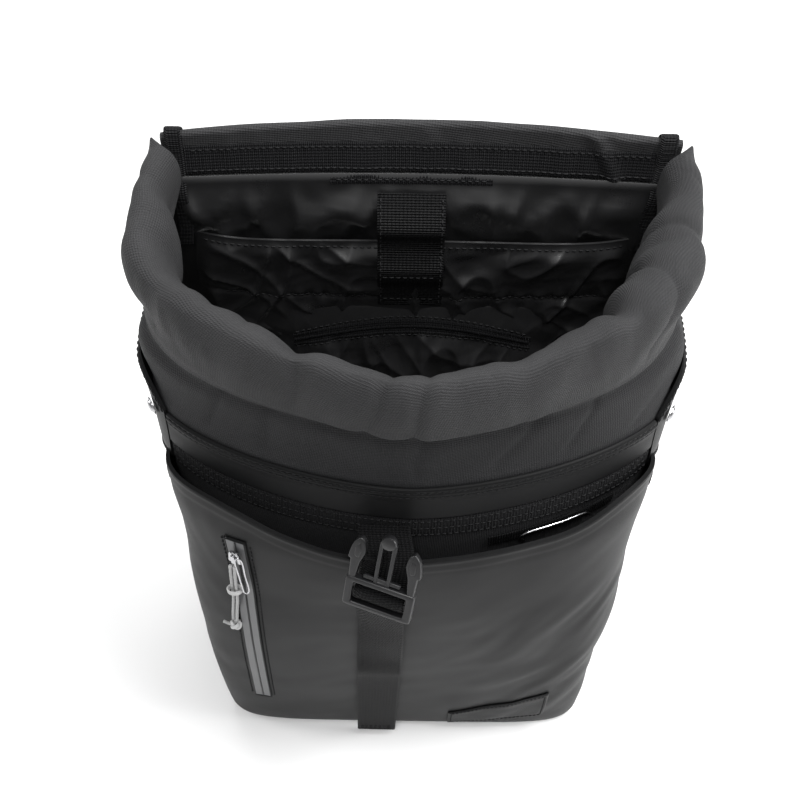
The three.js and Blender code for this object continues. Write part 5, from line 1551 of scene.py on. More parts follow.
def make_inner_strap():
    points = []
    for drop, wave in INNER_STRAP_SHAPE:
        z = INNER_STRAP_TOP - drop * (INNER_STRAP_TOP - INNER_STRAP_BOTTOM)
        points.append((INNER_STRAP_X, float(sleeve_front(0.0, z)) - wave * INNER_STRAP_WAVE, z))
    line = smooth_line(points, 160)
    strap = webbing("inner_strap_webbing", line, (1, 0, 0), 38, 1.5, "herringbone", 0.7, 33)
    finish_piece(strap, WEBBING, WEBBING_SLOT, "inner_strap")
    tangent = np.gradient(line, axis=0)
    forward = np.cross(tangent, (1.0, 0.0, 0.0))
    forward /= np.linalg.norm(forward, axis=1, keepdims=True)
    forward *= np.where(forward[:, 1:2] > 0, -1, 1)
    for offset in (-17.2, 17.2):
        webbing_row(line, (1, 0, 0), forward, offset, 0.75, 0.02, 0.98)
    for place in (0.66, 0.94):
        index = int(place * 159)
        across_row(line[index], 17, forward[index], 0.75, 120, 2.6, 1.2)


make_inner_strap()
x = np.linspace(INNER_STRAP_X - 22, INNER_STRAP_X + 22, 60)
z = np.linspace(POUCH_TOP + LAYER_GAP, INNER_STRAP_BOTTOM + 26, 40)
backing = upright(
    "strap_base_patch", x, z,
    lambda a, b: sleeve_front(a, b) - 2.1 - 0.2 * noise(a / 9, b / 9, 111),
    lambda a, b: sleeve_front(a, b) - 0.5,
)
finish_piece(backing, SATIN, SATIN_SLOT, "strap_backing")
sew("inner_strap_stitches")

# The coil zip of the pouch: two rows of ribbed tape and one row of rounded coils.
x = np.linspace(-INNER_ZIP_HALF, INNER_ZIP_HALF, 500)
for index, (low, high) in enumerate(((-0.2, 3.0), (5.0, 8.2))):
    share = np.linspace(0, 1, 8)[None, :]
    z = zip_height(x)[:, None] + low + (high - low) * share
    xx = np.broadcast_to(x[:, None], z.shape)
    face = lambda lift: np.stack([xx, pouch_face(xx, z) - lift, z], -1)
    tape = cloth(f"inner_zip_tape_{index + 1}", face(1.1 + 0.12 * np.sin(xx * 3.6)), face(0.25))
    finish_piece(tape, TAPE, WEBBING_SLOT, "inner_zip")
coil_x = np.arange(-INNER_ZIP_HALF + 0.8, INNER_ZIP_HALF - 0.8, 0.95)
low_end = np.stack(
    [coil_x, pouch_face(coil_x, zip_height(coil_x) + 4) - 1.25, zip_height(coil_x) + 2.5], -1
)
high_end = low_end + np.array((0.25, 0.0, 3.2))
high_end[:, 1] = pouch_face(coil_x, zip_height(coil_x) + 4) - 1.25
coils = stitch_mesh("inner_zip_coils", low_end, high_end, (0.0, -1.0, 0.0), 0.85, 0.5)
finish_piece(coils, PLASTIC, WEBBING_SLOT)

# Ribbed strips that are folded over the rim at the two back corners.
for sign, name in ((-1, "left"), (1, "right")):
    x = sign * (COLLAR_HALF - 2.5 - 4.5)
    clear = LAYER_GAP + TAPE_CLOTH / 2 + 0.3
    points = []
    for share in (1, 0.4, 0.05):
        z = PANEL_TOP - 40 * share
        points.append((float(lining_back(x, z)) - LINING_CLOTH - clear - 1.2, z))
    for share in (0.3, 0.7, 1.3):
        z = PANEL_TOP + COLLAR_SLOPE * share
        points.append((float(collar_front(x, z)) - clear, z))
    top = BODY_HEIGHT + BACK_CROWN * 0.2 + 1.9
    points += [(float(collar_front(x, BODY_HEIGHT)) + 0.6, top), (BACK_FACE - 0.6, top)]
    for z in (BODY_HEIGHT - 2, BODY_HEIGHT - 20):
        points.append((BACK_FACE + float(bow(x, z)) + clear + 0.3, z))
    line = smooth_line([(x, y, z) for y, z in points], 260)
    strip = webbing(f"corner_strip_{name}_ribbed", line, (1, 0, 0), 9, 1.2, "rib", 0.45, 11)
    finish_piece(strip, TAPE, WEBBING_SLOT, f"corner_strip_{name}")
print("inner strap, inner zip and corner strips made")

# %% [markdown]
# ## Buckle and front strap
#
# Hard pieces are flat outlines that are made thick with rounded edges. Blender's own
# curves do this: a filled two-dimensional curve with an extrusion and a round bevel
# becomes a mesh. `x` runs across the buckle, `y` up to the prongs.

# %% Buckle and front strap


def plate(outline, thickness, holes=(), bevel=0.6, resolution=3):
    """Vertices and faces of a rounded plate, centred on its own plane."""
    curve = bpy.data.curves.new("outline", "CURVE")
    curve.dimensions, curve.fill_mode = "2D", "BOTH"
    for ring in (outline, *holes):
        spline = curve.splines.new("POLY")
        spline.points.add(len(ring) - 1)
        for point, (x, y) in zip(spline.points, ring):
            point.co = (x, y, 0, 1)
        spline.use_cyclic_u = True
    curve.extrude = thickness / 2 - bevel
    curve.bevel_depth, curve.bevel_resolution, curve.offset = bevel, resolution, -bevel
    holder = bpy.data.objects.new("outline", curve)
    bpy.context.scene.collection.objects.link(holder)
    view = bpy.context.evaluated_depsgraph_get()
    mesh = bpy.data.meshes.new_from_object(holder.evaluated_get(view))
    vertices = np.array([vertex.co for vertex in mesh.vertices])
    faces = [list(polygon.vertices) for polygon in mesh.polygons]
    bpy.data.objects.remove(holder)
    bpy.data.curves.remove(curve)
    bpy.data.meshes.remove(mesh)
    return vertices, faces


def merged(name, parts, matrix=None, sharp=35):
    """One piece from several bodies, joined into one closed skin."""
    made = []
    for vertices, faces in parts:
        vertices = np.asarray(vertices, float)
        if matrix is not None:
            vertices = vertices @ np.array(matrix.to_3x3()).T + np.array(matrix.translation)
        body = add_object(name, vertices, faces, None, None)
        weld = body.modifiers.new("weld", "WELD")
        weld.merge_threshold = 1e-6
        made.append(body)
    first = made[0]
    for other in made[1:]:
        join = first.modifiers.new("join", "BOOLEAN")
        join.operation, join.solver, join.object = "UNION", "EXACT", other
    view = bpy.context.evaluated_depsgraph_get()
    mesh = bpy.data.meshes.new_from_object(first.evaluated_get(view))
    piece = bpy.data.objects.new(name, mesh)
    for body in made:
        bpy.data.objects.remove(body)
    mesh.polygons.foreach_set("use_smooth", [True] * len(mesh.polygons))
    mesh.set_sharp_from_angle(angle=math.radians(sharp))
    bpy.context.scene.collection.objects.link(piece)
    piece.name = name
    return piece


def rectangle(left, right, low, high):
    return [(left, low), (right, low), (right, high), (left, high)]


def rounded(points, radius, steps=4):
    """An outline with its corners rounded by about this radius."""
    result = []
    count = len(points)
    for index in range(count):
        before, here, after = (np.array(points[(index + k) % count], float) for k in (-1, 0, 1))
        back, ahead = before - here, after - here
        reach = min(radius, np.linalg.norm(back) * 0.45, np.linalg.norm(ahead) * 0.45)
        start = here + back / np.linalg.norm(back) * reach
        end = here + ahead / np.linalg.norm(ahead) * reach
        for share in np.linspace(0, 1, steps):
            middle = (1 - share) ** 2 * start + 2 * share * (1 - share) * here
            result.append(tuple(middle + share**2 * end))
    return result


def turned_profile(profile, sides):
    """Rings of points round the z axis, from a list of radius and height."""
    angles = np.linspace(0, 2 * np.pi, sides, endpoint=False)
    return np.array([(r * math.cos(a), r * math.sin(a), z) for r, z in profile for a in angles])


def cylinder(radius, depth, centre, sides=28, bevel=0.5):
    """A round knob along z with rounded rims."""
    rim, half = radius - bevel * 0.3, -depth / 2
    profile = [(radius - bevel, half), (rim, half + bevel * 0.3), (radius, half + bevel)]
    profile += [(r, -z) for r, z in reversed(profile)]
    vertices = turned_profile(profile, sides) + np.array(centre)
    return vertices, capped_rings(vertices, len(profile), sides, np.array(centre))


BUCKLE_WIDTH, BUCKLE_LENGTH, BUCKLE_THICK = 41.0, 54.0, 5.5
BUCKLE_LEAN, BUCKLE_YAW, BUCKLE_X = math.radians(25), math.radians(20), -14.5
FRONT_WEBBING, WEBBING_THICK, TAIL_FOOT_X, TAIL_WAVE = 30.0, 1.5, -22.0, 10.0
lean_sine, lean_cosine = math.sin(BUCKLE_LEAN), math.cos(BUCKLE_LEAN)
BUCKLE_TURN = Matrix.Rotation(-BUCKLE_YAW, 4, "Z") @ Matrix((
    (1, 0, 0, 0),
    (0, lean_sine, -lean_cosine, 0),
    (0, lean_cosine, lean_sine, 0),
    (0, 0, 0, 1),
))


def pocket_skin(share, height):
    """The pocket's outer face as the CAD has it, without dents."""
    return pocket_out(share, height) + PANEL_CLOTH


edge_share = float(along_for_x(BUCKLE_X, POCKET_TOP, pocket_skin))
EDGE_POINT = wall(edge_share, POCKET_TOP, pocket_skin(edge_share, POCKET_TOP))
STANDOFF = BUCKLE_THICK / 2 + LAYER_GAP + WEBBING_THICK / 2
YAW_ROOM = BUCKLE_WIDTH / 2 * math.sin(BUCKLE_YAW) + 1
lean_out = np.array((0.0, -lean_cosine, lean_sine))
BUCKLE_CENTRE = EDGE_POINT + lean_out * (STANDOFF + WEBBING_THICK / 2 + YAW_ROOM)
BUCKLE_MIDDLE = 27.0


def on_buckle(x, along, out):
    return np.array(BUCKLE_TURN @ Vector((x, along - BUCKLE_MIDDLE, out))) + BUCKLE_CENTRE


PRONG_ARM = [
    (1, 19.0),
    (0.6, 32.6),
    (-1.1, 33.4),
    (-0.4, 39),
    (1.0, 44.5),
    (4.6, 49),
    (7.6, 46),
    (8.8, 39),
    (6.2, 31),
    (5, 19.0),
]
PRONG = (PRONG_ARM, 1.6, 4.4, 0.9)
PRONG_PAD = ([(2.4, 35.5), (2.6, 42.0), (5.0, 45.6), (6.6, 40.0), (5.2, 34.5)], 1.2, 5.3, 0.7)


def make_plug():
    half, opening = BUCKLE_WIDTH / 2, FRONT_WEBBING / 2 + 0.8
    low, window, mid, upper, head = 3.0, 8.0, 11.0, 17.0, 20.5
    foot = [(-half, 0.6), (-half + 3, 0), (half - 3, 0), (half, 0.6)]
    frame_outline = rounded(foot + [(half, head), (-half, head)], 2.4)
    window_hole = rounded(rectangle(-opening, opening, low, upper), 1.2)
    bar = rounded(rectangle(-opening - 1, opening + 1, window, mid), 0.8)
    parts = [plate(frame_outline, BUCKLE_THICK, [window_hole], 0.9), plate(bar, 2.2, (), 0.7)]
    for side in (-1, 1):
        # Each prong is a flat arm with a raised pad. Both are given from the edge inward.
        for shape, radius, thickness, bevel in (PRONG, PRONG_PAD):
            outline = [(side * (half - inset), y) for inset, y in shape]
            parts.append(plate(rounded(outline[::side], radius), thickness, (), bevel))
    guide = rounded(rectangle(-5, 5, head - 1, BUCKLE_LENGTH - 4), 1.4)
    slot_hole = rounded(rectangle(-2.6, 2.6, head + 1.4, BUCKLE_LENGTH - 7.5), 1.0)
    parts.append(plate(guide, 3.4, [slot_hole], 0.7))
    shoulder = rounded(rectangle(-11.2, 11.2, head + 0.6, head + 3.4), 1.0)
    parts.append(plate(shoulder, 2.6, (), 0.7))
    parts.append(cylinder(4.4, 4.6, (0, BUCKLE_LENGTH - 4, 0), 32, 1.0))
    matrix = Matrix.Translation(BUCKLE_CENTRE) @ BUCKLE_TURN @ Matrix.Translation(
        (0, -BUCKLE_MIDDLE, 0)
    )
    return merged("plug_half", parts, matrix)


TAIL_SHAPE = [
    (0.8, 1.15),
    (0.7, 0.95),
    (0.6, 0.8),
    (0.52, 0.95),
    (0.47, 0.75),
    (0.35, 0.62),
    (0.2, 0.66),
    (0.04, 0.8),
]


def front_place(x, height, outward):
    share = along_for_x(x, height, outward)
    return wall(share, height, outward(share, height))


def make_front_strap():
    back = -STANDOFF
    skin = lambda share, height: LAYER_GAP + TAPE_CLOTH + 0 * share
    binding_face = front_place(BUCKLE_X, BINDING_TOP - 5, skin)
    tail = []
    for share, wave in TAIL_SHAPE:
        z = share * POCKET_TOP
        face = front_place(BUCKLE_X, z, pocket_skin)
        x = TAIL_FOOT_X + (BUCKLE_X - TAIL_FOOT_X) * (z / BUCKLE_CENTRE[2])
        tail.append((x, face[1] - wave * TAIL_WAVE, z))
    over_bar = [(14, -0.6), (11.4, 2.3), (9.5, 2.6), (7.6, 2.3), (5.6, -0.6)]
    weave = [(27, back), (20, back), (17, back), *over_bar, (3, back + 0.2), (0, back)]
    points = [
        (BUCKLE_X, binding_face[1] - 1.2, binding_face[2]),
        (BUCKLE_X, binding_face[1] - 5, binding_face[2] - 0.5),
        tuple(on_buckle(0, 34, back - 0.6)),
        *[tuple(on_buckle(0, along, out)) for along, out in weave],
        *tail,
    ]
    line = smooth_line(points, 500)
    above = smooth(-binding_face[1] + 4, -BUCKLE_CENTRE[1] - 6, -line[:, 1])
    below = smooth(tail[3][2], tail[0][2], line[:, 2])
    turn = -BUCKLE_YAW * np.minimum(above, below)
    sides = np.stack([np.cos(turn), np.sin(turn), 0 * turn], -1)
    pattern = "herringbone", 0.75, 31
    strap = webbing("front_strap_webbing", line, sides, FRONT_WEBBING, WEBBING_THICK, *pattern)
    finish_piece(strap, WEBBING, WEBBING_SLOT, "front_strap")
    ahead = np.array((0.0, -1.0, 0.1))
    for rise in (3.5, 9.0):
        index = int(np.argmin(np.abs(line[:, 2] - (line[-1, 2] + rise))))
        across_row(line[index], 13.5, ahead, 0.85, 100, 2.4)
    fold_back = ((0, 0.2, 0.0), (0, 1.6, 0.4), (0, 2.3, 4.0), (0, 2.2, 12.0))
    hem_line = smooth_line(np.array([line[-1] + step for step in fold_back]), 60)
    hem = webbing("front_strap_hem", hem_line, (1, 0, 0), FRONT_WEBBING - 0.4, 1.2, *pattern)
    finish_piece(hem, WEBBING, WEBBING_SLOT)
    sew("front_strap_stitches")
    return line


front_line = make_front_strap()
finish_piece(make_plug(), PLASTIC, "black_plastic", "buckle_plug")
print("buckle and front strap made, strap length", round(line_length(front_line)), "mm")

# %% [markdown]
# ## Front zip, slider, puller and cord fittings
#
# The slot of the zip is a raised, stitched frame round a coated tape. The tape has two
# halves that meet at a line of small coils. The slider, its bridge and the long wire
# puller are plated metal.

# %% Front zip, slider, puller and cord fittings
ZIP_WIDTH, ZIP_TOP, ZIP_FOOT, ZIP_CLOTH = 12.0, POCKET_TOP - 14, 64.0, 1.2
ZIP_TOP_X, ZIP_FOOT_X = 41 - BASE_WIDTH / 2, 34.5 - BASE_WIDTH / 2
ZIP_FACE = LAYER_GAP + 0.3 + ZIP_CLOTH


def on_pocket_grid(x, z, outward):
    """Points in front of the pocket's skin, and their outward normals."""
    share = along_for_x(x, z, pocket_surface)
    skin = pocket_surface(share, z)
    near = wall(share, z, skin + outward)
    far = wall(share, z, skin + np.asarray(outward) + 5)
    return near, (far - near) / 5.0


def zip_grid(low, high, columns, rows):
    """A grid along the zip: shares along the wall, heights, and the pocket's surface."""
    up = np.linspace(0, 1, rows)[:, None]
    side = np.linspace(low, high, columns)[None, :]
    z = ZIP_FOOT + (ZIP_TOP - ZIP_FOOT) * up + 0 * side
    x = ZIP_FOOT_X + (ZIP_TOP_X - ZIP_FOOT_X) * up + side
    coarse = np.linspace(0, rows - 1, 40).astype(int)
    share = along_for_x(x[coarse], z[coarse], pocket_surface)
    full = read_along(np.arange(rows), coarse, share)
    return full, z, pocket_surface(full, z)


def zip_strip(name, low, high, columns, rows, inner, outer, material, slot, *nodes):
    share, z, skin = zip_grid(low, high, columns, rows)
    piece = cloth(name, wall(share, z, skin + outer), wall(share, z, skin + inner))
    return finish_piece(piece, material, slot, *nodes)


half = ZIP_WIDTH / 2
columns = np.linspace(-1, 1, 15)[None, :]
tape_lift = 1.1 + 0.25 * np.abs(columns) ** 4 - 0.35 * bell(columns, 0, 0.07)
zip_strip(
    "zip_tape", -half + 0.6, half - 0.6, 15, 260, 0.5, tape_lift, ZIP_TAPE, "zip_tape", "front_zip"
)
for index, (low, high) in enumerate(((-half - 0.5, -half + 0.9), (half - 0.9, half + 0.5))):
    bead = 0.4 + 1.2 * np.sqrt(1 - np.linspace(-0.98, 0.98, 9)[None, :] ** 2)
    zip_strip(f"zip_border_{index + 1}", low, high, 9, 240, 0.35, bead, COATED, COATED_SLOT)
for place, name in ((1.0, "top"), (0.0, "foot")):
    z = ZIP_FOOT + (ZIP_TOP - ZIP_FOOT) * place
    x = ZIP_FOOT_X + (ZIP_TOP_X - ZIP_FOOT_X) * place
    side, up = np.meshgrid(
        np.linspace(-half - 0.5, half + 0.5, 24), np.linspace(-0.9, 0.9, 9), indexing="ij"
    )
    slope = 1.6 * (side / half) * (1 if place else -0.4)
    points, normals = on_pocket_grid(x + side, z + up + slope * 0.6, 0.4)
    bead = 1.3 * np.sqrt(np.clip(1 - (up / 0.95) ** 2, 0, 1))[..., None]
    finish_piece(cloth(f"zip_border_{name}", points + normals * bead, points), COATED, COATED_SLOT)
share, z, skin = zip_grid(-0.6, 0.6, 2, 440)
centre = wall(share, z, skin + 1.15)
starts, ends = centre[4:-4, 0], centre[4:-4, 1]
normals = wall(share, z, skin + 6) - wall(share, z, skin + 1)
coils = stitch_mesh("zip_coils", starts, ends, normals[4:-4, 0] / 5, 0.42, 0.25)
finish_piece(coils, PLASTIC, "black_plastic")
for side in (-half - 2.6, half + 2.6):
    share, z, skin = zip_grid(side, side + 0.01, 2, 400)
    line = wall(share, z, skin + 0.05)[:, 0]
    stitch(line, (wall(share, z, skin + 5)[:, 0] - line) / 5, 2.8, 1.3)
sew("zip_stitches")

SLIDER_LEVEL = ZIP_TOP - 13


def flat_on_pocket(centre, x, z):
    skin = lambda a, b: on_pocket_grid(np.array([a]), np.array([b]), 0.0)[0][0]
    right = skin(x + 4, z) - skin(x - 4, z)
    up = skin(x, z + 6) - skin(x, z - 6)
    right, up = Vector(right).normalized(), Vector(up).normalized()
    normal = right.cross(up).normalized()
    turn = Matrix((right, normal.cross(right), normal)).transposed().to_4x4()
    return Matrix.Translation(Vector(centre)) @ turn


slider_matrix = flat_on_pocket(SLIDER, ZIP_TOP_X, SLIDER_LEVEL)
body = rounded([(-4.4, -5), (4.4, -5), (3.6, 1.5), (3.0, 5), (-3.0, 5), (-3.6, 1.5)], 1.6)
bridge = rounded(rectangle(-1.3, 1.3, -4.0, 4.0), 1.0)
base_plate = plate(body, 2.2, (), 0.6)
top_bridge = plate(bridge, 1.8, (), 0.5)
top_bridge = (top_bridge[0] + np.array((0, 0, 1.7)), top_bridge[1])
slider = merged("slider_body", [base_plate, top_bridge], slider_matrix)
finish_piece(slider, CHROME, "chromed_metal", "zip_slider")

# The puller is one wire, given from the top of its CAD node.
PULLER_WIRE = [
    (-1.6, -37.5), (0, -39.2), (1.6, -37.5), (1.9, -20),
    (1.6, -2.4), (0, -0.9), (-1.6, -2.4), (-1.9, -20),
]
PULLER_OUT = ZIP_FACE + LAYER_GAP + 3.9
puller_low, puller_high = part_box("zip_puller")
puller_x = (puller_low.x + puller_high.x) / 2 * 1000
line = []
for across, up in PULLER_WIRE + PULLER_WIRE[:1]:
    height = puller_high.z * 1000 + up
    near, _ = on_pocket_grid(np.array([puller_x]), np.array([height]), PULLER_OUT)
    line.append((puller_x + across, float(near[0, 1]), height))
closed_line = smooth_line(line, 161)[:-1]
puller = tube("wire_puller", closed_line, 0.62, 10, closed=True)
finish_piece(puller, CHROME, "chromed_metal", "zip_puller")

for (piece, *_), node in zip(cord_pieces, ("pull_cord_left", "pull_cord_right")):
    finish_piece(piece, CORD, "cord_fibre", node)


def between(place):
    """The point midway between the two strands, at this place of their lists."""
    return (np.add(SLIDER, CORD_LEFT[place]) + np.add(SLIDER, CORD_RIGHT[place])) / 2


def oval(a, b, count):
    angles = np.linspace(0, 2 * math.pi, count, endpoint=False)
    return [(a * math.cos(t), b * math.sin(t)) for t in angles]


ring = plate(oval(5.0, 3.5, 32), 4.5, [oval(3.7, 2.4, 24)], 0.7)
collar_piece = merged("cord_collar_ring", [ring], Matrix.Translation(Vector(between(3))))
finish_piece(collar_piece, CORD, "cord_fibre", "cord_collar")


def make_knot():
    """A round stopper knot: one cord wound over itself, with a short tail."""
    drop = 3.8 + CORD_DIAMETER / 4 + LAYER_GAP
    centre = between(7) + np.array((0, -1.4, -drop))
    turn = np.linspace(0, 2 * np.pi, 220, endpoint=False)
    swell = 1 + 0.22 * np.cos(3 * turn)
    across, depth = 2.5 * np.cos(2 * turn) * swell, 2.3 * np.sin(2 * turn) * swell
    wound = np.stack([across, depth, 1.9 * np.sin(3 * turn)], -1)
    knot = tube("stopper_knot", centre + wound, 1.15, 12, closed=True)
    finish_piece(knot, CORD, "cord_fibre", "cord_knot")
    tail = smooth_line(
        [centre + (-1.5, 0, 0), centre + (-4.5, 0.6, -0.4), centre + (-8.3, 1.4, 1.5)], 30
    )
    finish_piece(tube("knot_tail", tail, 1.05, 12), CORD, "cord_fibre")
    return knot


knot = make_knot()
print("zip and cord fittings made")

# %% [markdown]
# ## Label patch, key strap, hook and snaps
#
# The label patch stays bare. The key hook is bent from one wire.

# %% Label patch, key strap, hook and snaps


def make_label():
    across, up = np.meshgrid(np.linspace(0, 1, 60), np.linspace(0, 1, 26), indexing="ij")
    left = BASE_WIDTH / 2 - 31.5 - 76
    z = 10.5 + 18 * across + (28 + 21 * across) * up
    share = along_for_x(left + 76 * across, z, pocket_surface)
    skin = pocket_surface(share, z)
    edge = np.minimum(np.minimum(across, 1 - across) * 76, np.minimum(up, 1 - up) * 36)
    lift = 1.9 - 0.9 * (1 - smooth(0, 1.2, edge)) - 0.4 * bell(edge, 2.8, 0.7)
    lift = lift + 0.2 * noise(across * 5, up * 3, 131)
    patch = cloth("bare_label_patch", wall(share, z, skin + lift), wall(share, z, skin + 0.6))
    finish_piece(patch, COATED, COATED_SLOT, "label_patch")
    inset = 0.037
    corners = [(inset, 0.09), (1 - inset, 0.06), (1 - inset, 0.94), (inset, 0.91), (inset, 0.09)]
    for (a0, u0), (a1, u1) in zip(corners, corners[1:]):
        t = np.linspace(0, 1, 40)
        a, u = a0 + (a1 - a0) * t, u0 + (u1 - u0) * t
        x, z = left + 76 * a, 10.5 + 18 * a + (28 + 21 * a) * u
        line, normals = on_pocket_grid(x, z, 1.7)
        stitch(line, normals, 2.2, 1.1)
    sew("label_stitches", COATED_SLOT, 0.65, 0.3)


make_label()
KEY_RIGHT = BASE_WIDTH / 2 - 24.5
KEY_LEFT = KEY_RIGHT - 72
key_out = LAYER_GAP + 0.6
x = np.linspace(KEY_LEFT, KEY_RIGHT, 90)
z = POCKET_TOP - 15 + (x - KEY_LEFT) * 0.06 + 5
share = along_for_x(x, z)
line = wall(share, z, key_out + WEBBING_THICK / 2)
key = webbing("key_strap_ribbed", line, (0, 0, 1), 10, WEBBING_THICK, "rib", 0.45, 13)
finish_piece(key, WEBBING, WEBBING_SLOT, "key_strap")
HOOK_BEND = [
    (20, 13, 0), (17, 8, 1), (20, 3, 2), (30, 2, 2), (42, 2.4, 1.6), (54, 4, 0.6), (58, 8, 0.2)
]
places = []
for across, drop, lift in HOOK_BEND:
    at = along_for_x(KEY_LEFT + across, POCKET_TOP - drop)
    places.append(wall(at, POCKET_TOP - drop, key_out + WEBBING_THICK + LAYER_GAP + 1 + lift))
hook = tube("wire_hook", smooth_line(places, 120), 1.0, 14)
finish_piece(hook, CHROME, "chromed_metal", "key_hook")

SNAP_SIDES = 40
SNAP_PROFILE = [
    (0.0, 0.0), (5.0, 0.0), (5.5, 0.25), (5.5, 0.7), (5.2, 1.0), (4.6, 1.0),
    (4.3, 0.75), (3.9, 1.5), (3.0, 2.1), (1.6, 2.5), (0.0, 2.6),
]

for sign, name in ((-1, "left"), (1, "right")):
    share = SNAP_PLACE if sign < 0 else 1 - SNAP_PLACE
    centre = wall(share, SNAP_LEVEL, TAB_GAP + BAND_CLOTH + LAYER_GAP + 0.4)
    normal = wall(share, SNAP_LEVEL, 10.0) - wall(share, SNAP_LEVEL, 0.0)
    turn = Vector(normal).to_track_quat("Z", "Y").to_matrix().to_4x4()
    points = turned_profile([(max(r, 0.01), z) for r, z in SNAP_PROFILE], SNAP_SIDES)
    points = points @ np.array(turn.to_3x3()).T + centre
    faces = capped_rings(points, len(SNAP_PROFILE), SNAP_SIDES, centre)
    cap = add_object(f"snap_cap_{name}", points, faces, np.zeros((len(points), 2)), 40)
    finish_piece(cap, CHROME, "chromed_metal", f"snap_{name}")
print("label, key strap, hook and snaps made")

# %% [markdown]
# ## Shoulder straps, adjusters, handle and closing strap
#
# These are behind the bag in the photograph. They are finished plainly: padded straps
# with a stitched webbing down their middle, ladder adjusters, lower webbing, a haul
# handle, and the closing strap with the socket half for the plug in front.

# %% Shoulder straps, adjusters, handle and closing strap
HANDLE_LEVEL = PANEL_TOP - 9
STRAP_TOP = HANDLE_LEVEL - 7.5 - 3
STRAP_PAD, STRAP_ARCH, STRAP_CLEAR = 9.0, 26.0, LAYER_GAP * 2
STRAP_COLUMNS = ("height", "place", "standoff", "widen")
STRAP_ROWS = [
    (0.4, 0.6, 0.45, 1.0),
    (0.5, 0.52, 0.7, 0.8),
    (0.622, 0.45, 0.95, 0.6),
    (0.756, 0.4, 1.0, 0.4),
    (0.867, 0.375, 0.78, 0.2),
    (0.956, 0.365, 0.3, 0.05),
    (1.0, 0.36, 0.0, 0.0),
]


def back_at(x, height):
    return BACK_FACE + bow(x, height)


def strap_point(sign, height, side, out):
    """A place on the padded strap: side from -1 to 1, out from -1 to 1."""
    read = lambda column: read_table(STRAP_COLUMNS, STRAP_ROWS, column, height)
    width = 58 + (46 - 58) * read("widen")
    x = sign * read("place") * BASE_WIDTH / 2 + side * width / 2
    z = height * STRAP_TOP
    ends = np.clip(np.minimum(height - 0.4, 1 - height) * STRAP_TOP / 5.0, 0, 1)
    round_end = 0.45 + 0.55 * np.sqrt(1 - (1 - ends) ** 2)
    edge = (1 - np.abs(side)) * width / 2
    plump = 0.34 + 0.66 * np.sqrt(np.clip(1 - (1 - np.clip((edge - 2.4) / 9, 0, 1)) ** 2, 0, 1))
    groove = 0.16 * np.exp(-(((edge - 3.0) / 0.8) ** 2))
    middle = back_at(x, z) + STRAP_CLEAR + STRAP_PAD / 2 + read("standoff") * STRAP_ARCH
    half_pad = STRAP_PAD / 2 * round_end * np.maximum(plump - groove, 0.2)
    return np.stack([x, middle + out * half_pad, z], -1)


for sign, name in ((-1, "left"), (1, "right")):
    side, height = np.meshgrid(np.linspace(-1, 1, 61), np.linspace(0.4, 1.0, 200), indexing="ij")
    strap = cloth(
        f"padded_strap_{name}", strap_point(sign, height, side, 1.0),
        strap_point(sign, height, side, -1.0), 75
    )
    finish_piece(strap, WOVEN, BLACK_FABRIC, f"shoulder_strap_{name}")
    heights = np.linspace(0.412, 0.985, 260)
    line = strap_point(sign, heights, np.zeros(260), 1.0) + (0, 0.7, 0)
    middle_webbing = webbing(
        f"strap_webbing_{name}", line, (1, 0, 0), 25, 1.3, "herringbone", 0.8, 25
    )
    finish_piece(middle_webbing, WEBBING, WEBBING_SLOT)
    for offset in (-11.4, 11.4):
        webbing_row(line, (1, 0, 0), (0, 1, 0), offset, 0.75, 0.0, 1.0)
    for edge in (-0.9, 0.9):
        dense_heights = np.linspace(0.41, 0.99, 500)
        border = strap_point(sign, dense_heights, np.full(500, edge), 1.0)
        stitch(border, (0.0, 1.0, 0.0), 2.8, 1.3)
    foot = STRAP_ROWS[0]
    top = np.array(
        (sign * (foot[1] * BASE_WIDTH / 2 + 3), 0.0, foot[0] * STRAP_TOP - LAYER_GAP - 14)
    )
    top[1] = back_at(top[0], top[2]) + STRAP_CLEAR + STRAP_PAD / 2 + foot[2] * STRAP_ARCH
    opening = 25 / 2 + 0.8
    slots = [rounded(rectangle(-opening, opening, *span), 1.0) for span in ((-11, -2), (2, 11))]
    ladder = plate(rounded(rectangle(-17, 17, -14, 14), 3.0), 4.0, slots, 0.8)
    matrix = Matrix.Translation(Vector(top)) @ Matrix.Rotation(math.pi / 2, 4, "X")
    adjuster = merged(f"ladder_adjuster_{name}", [ladder], matrix)
    finish_piece(adjuster, PLASTIC, "black_plastic", f"strap_adjuster_{name}")
    clear = LAYER_GAP + WEBBING_THICK / 2
    foot_x = sign * (BASE_WIDTH / 2 - 20.5)
    points = [
        (top[0], top[1] + 2 + clear, top[2] + 8),
        (top[0] + sign * 1.5, top[1] + 2 + clear, top[2] - 14),
        (top[0] + sign * 9, top[1] - 3, (top[2] + 26) / 2),
        (foot_x - sign * 5, BACK_FACE + clear + 1.4, 46),
        (foot_x, BACK_FACE + clear + 0.3, 26),
    ]
    lower_line = smooth_line(points, 240)
    lower = webbing(
        f"lower_webbing_{name}", lower_line, (1, 0, 0), 25, WEBBING_THICK, "herringbone", 0.8, 25
    )
    finish_piece(lower, WEBBING, WEBBING_SLOT, f"lower_strap_{name}")
    end = lower_line[-1]
    box_x, box_z = np.array((-9, 9, 9, -9, -9)), np.array((1.5, 1.5, 14, 14, 1.5))
    for k in range(4):
        t = np.linspace(0, 1, 40)[:, None]
        corner, following = (
            np.array((box_x[c], 0.35 * box_z[c] / 14, box_z[c])) for c in (k, k + 1)
        )
        row = end + (0, 0.9, 0) + corner * (1 - t) + following * t
        stitch(row, (0.0, 1.0, 0.0), 2.4, 1.1)
sew("strap_stitches")

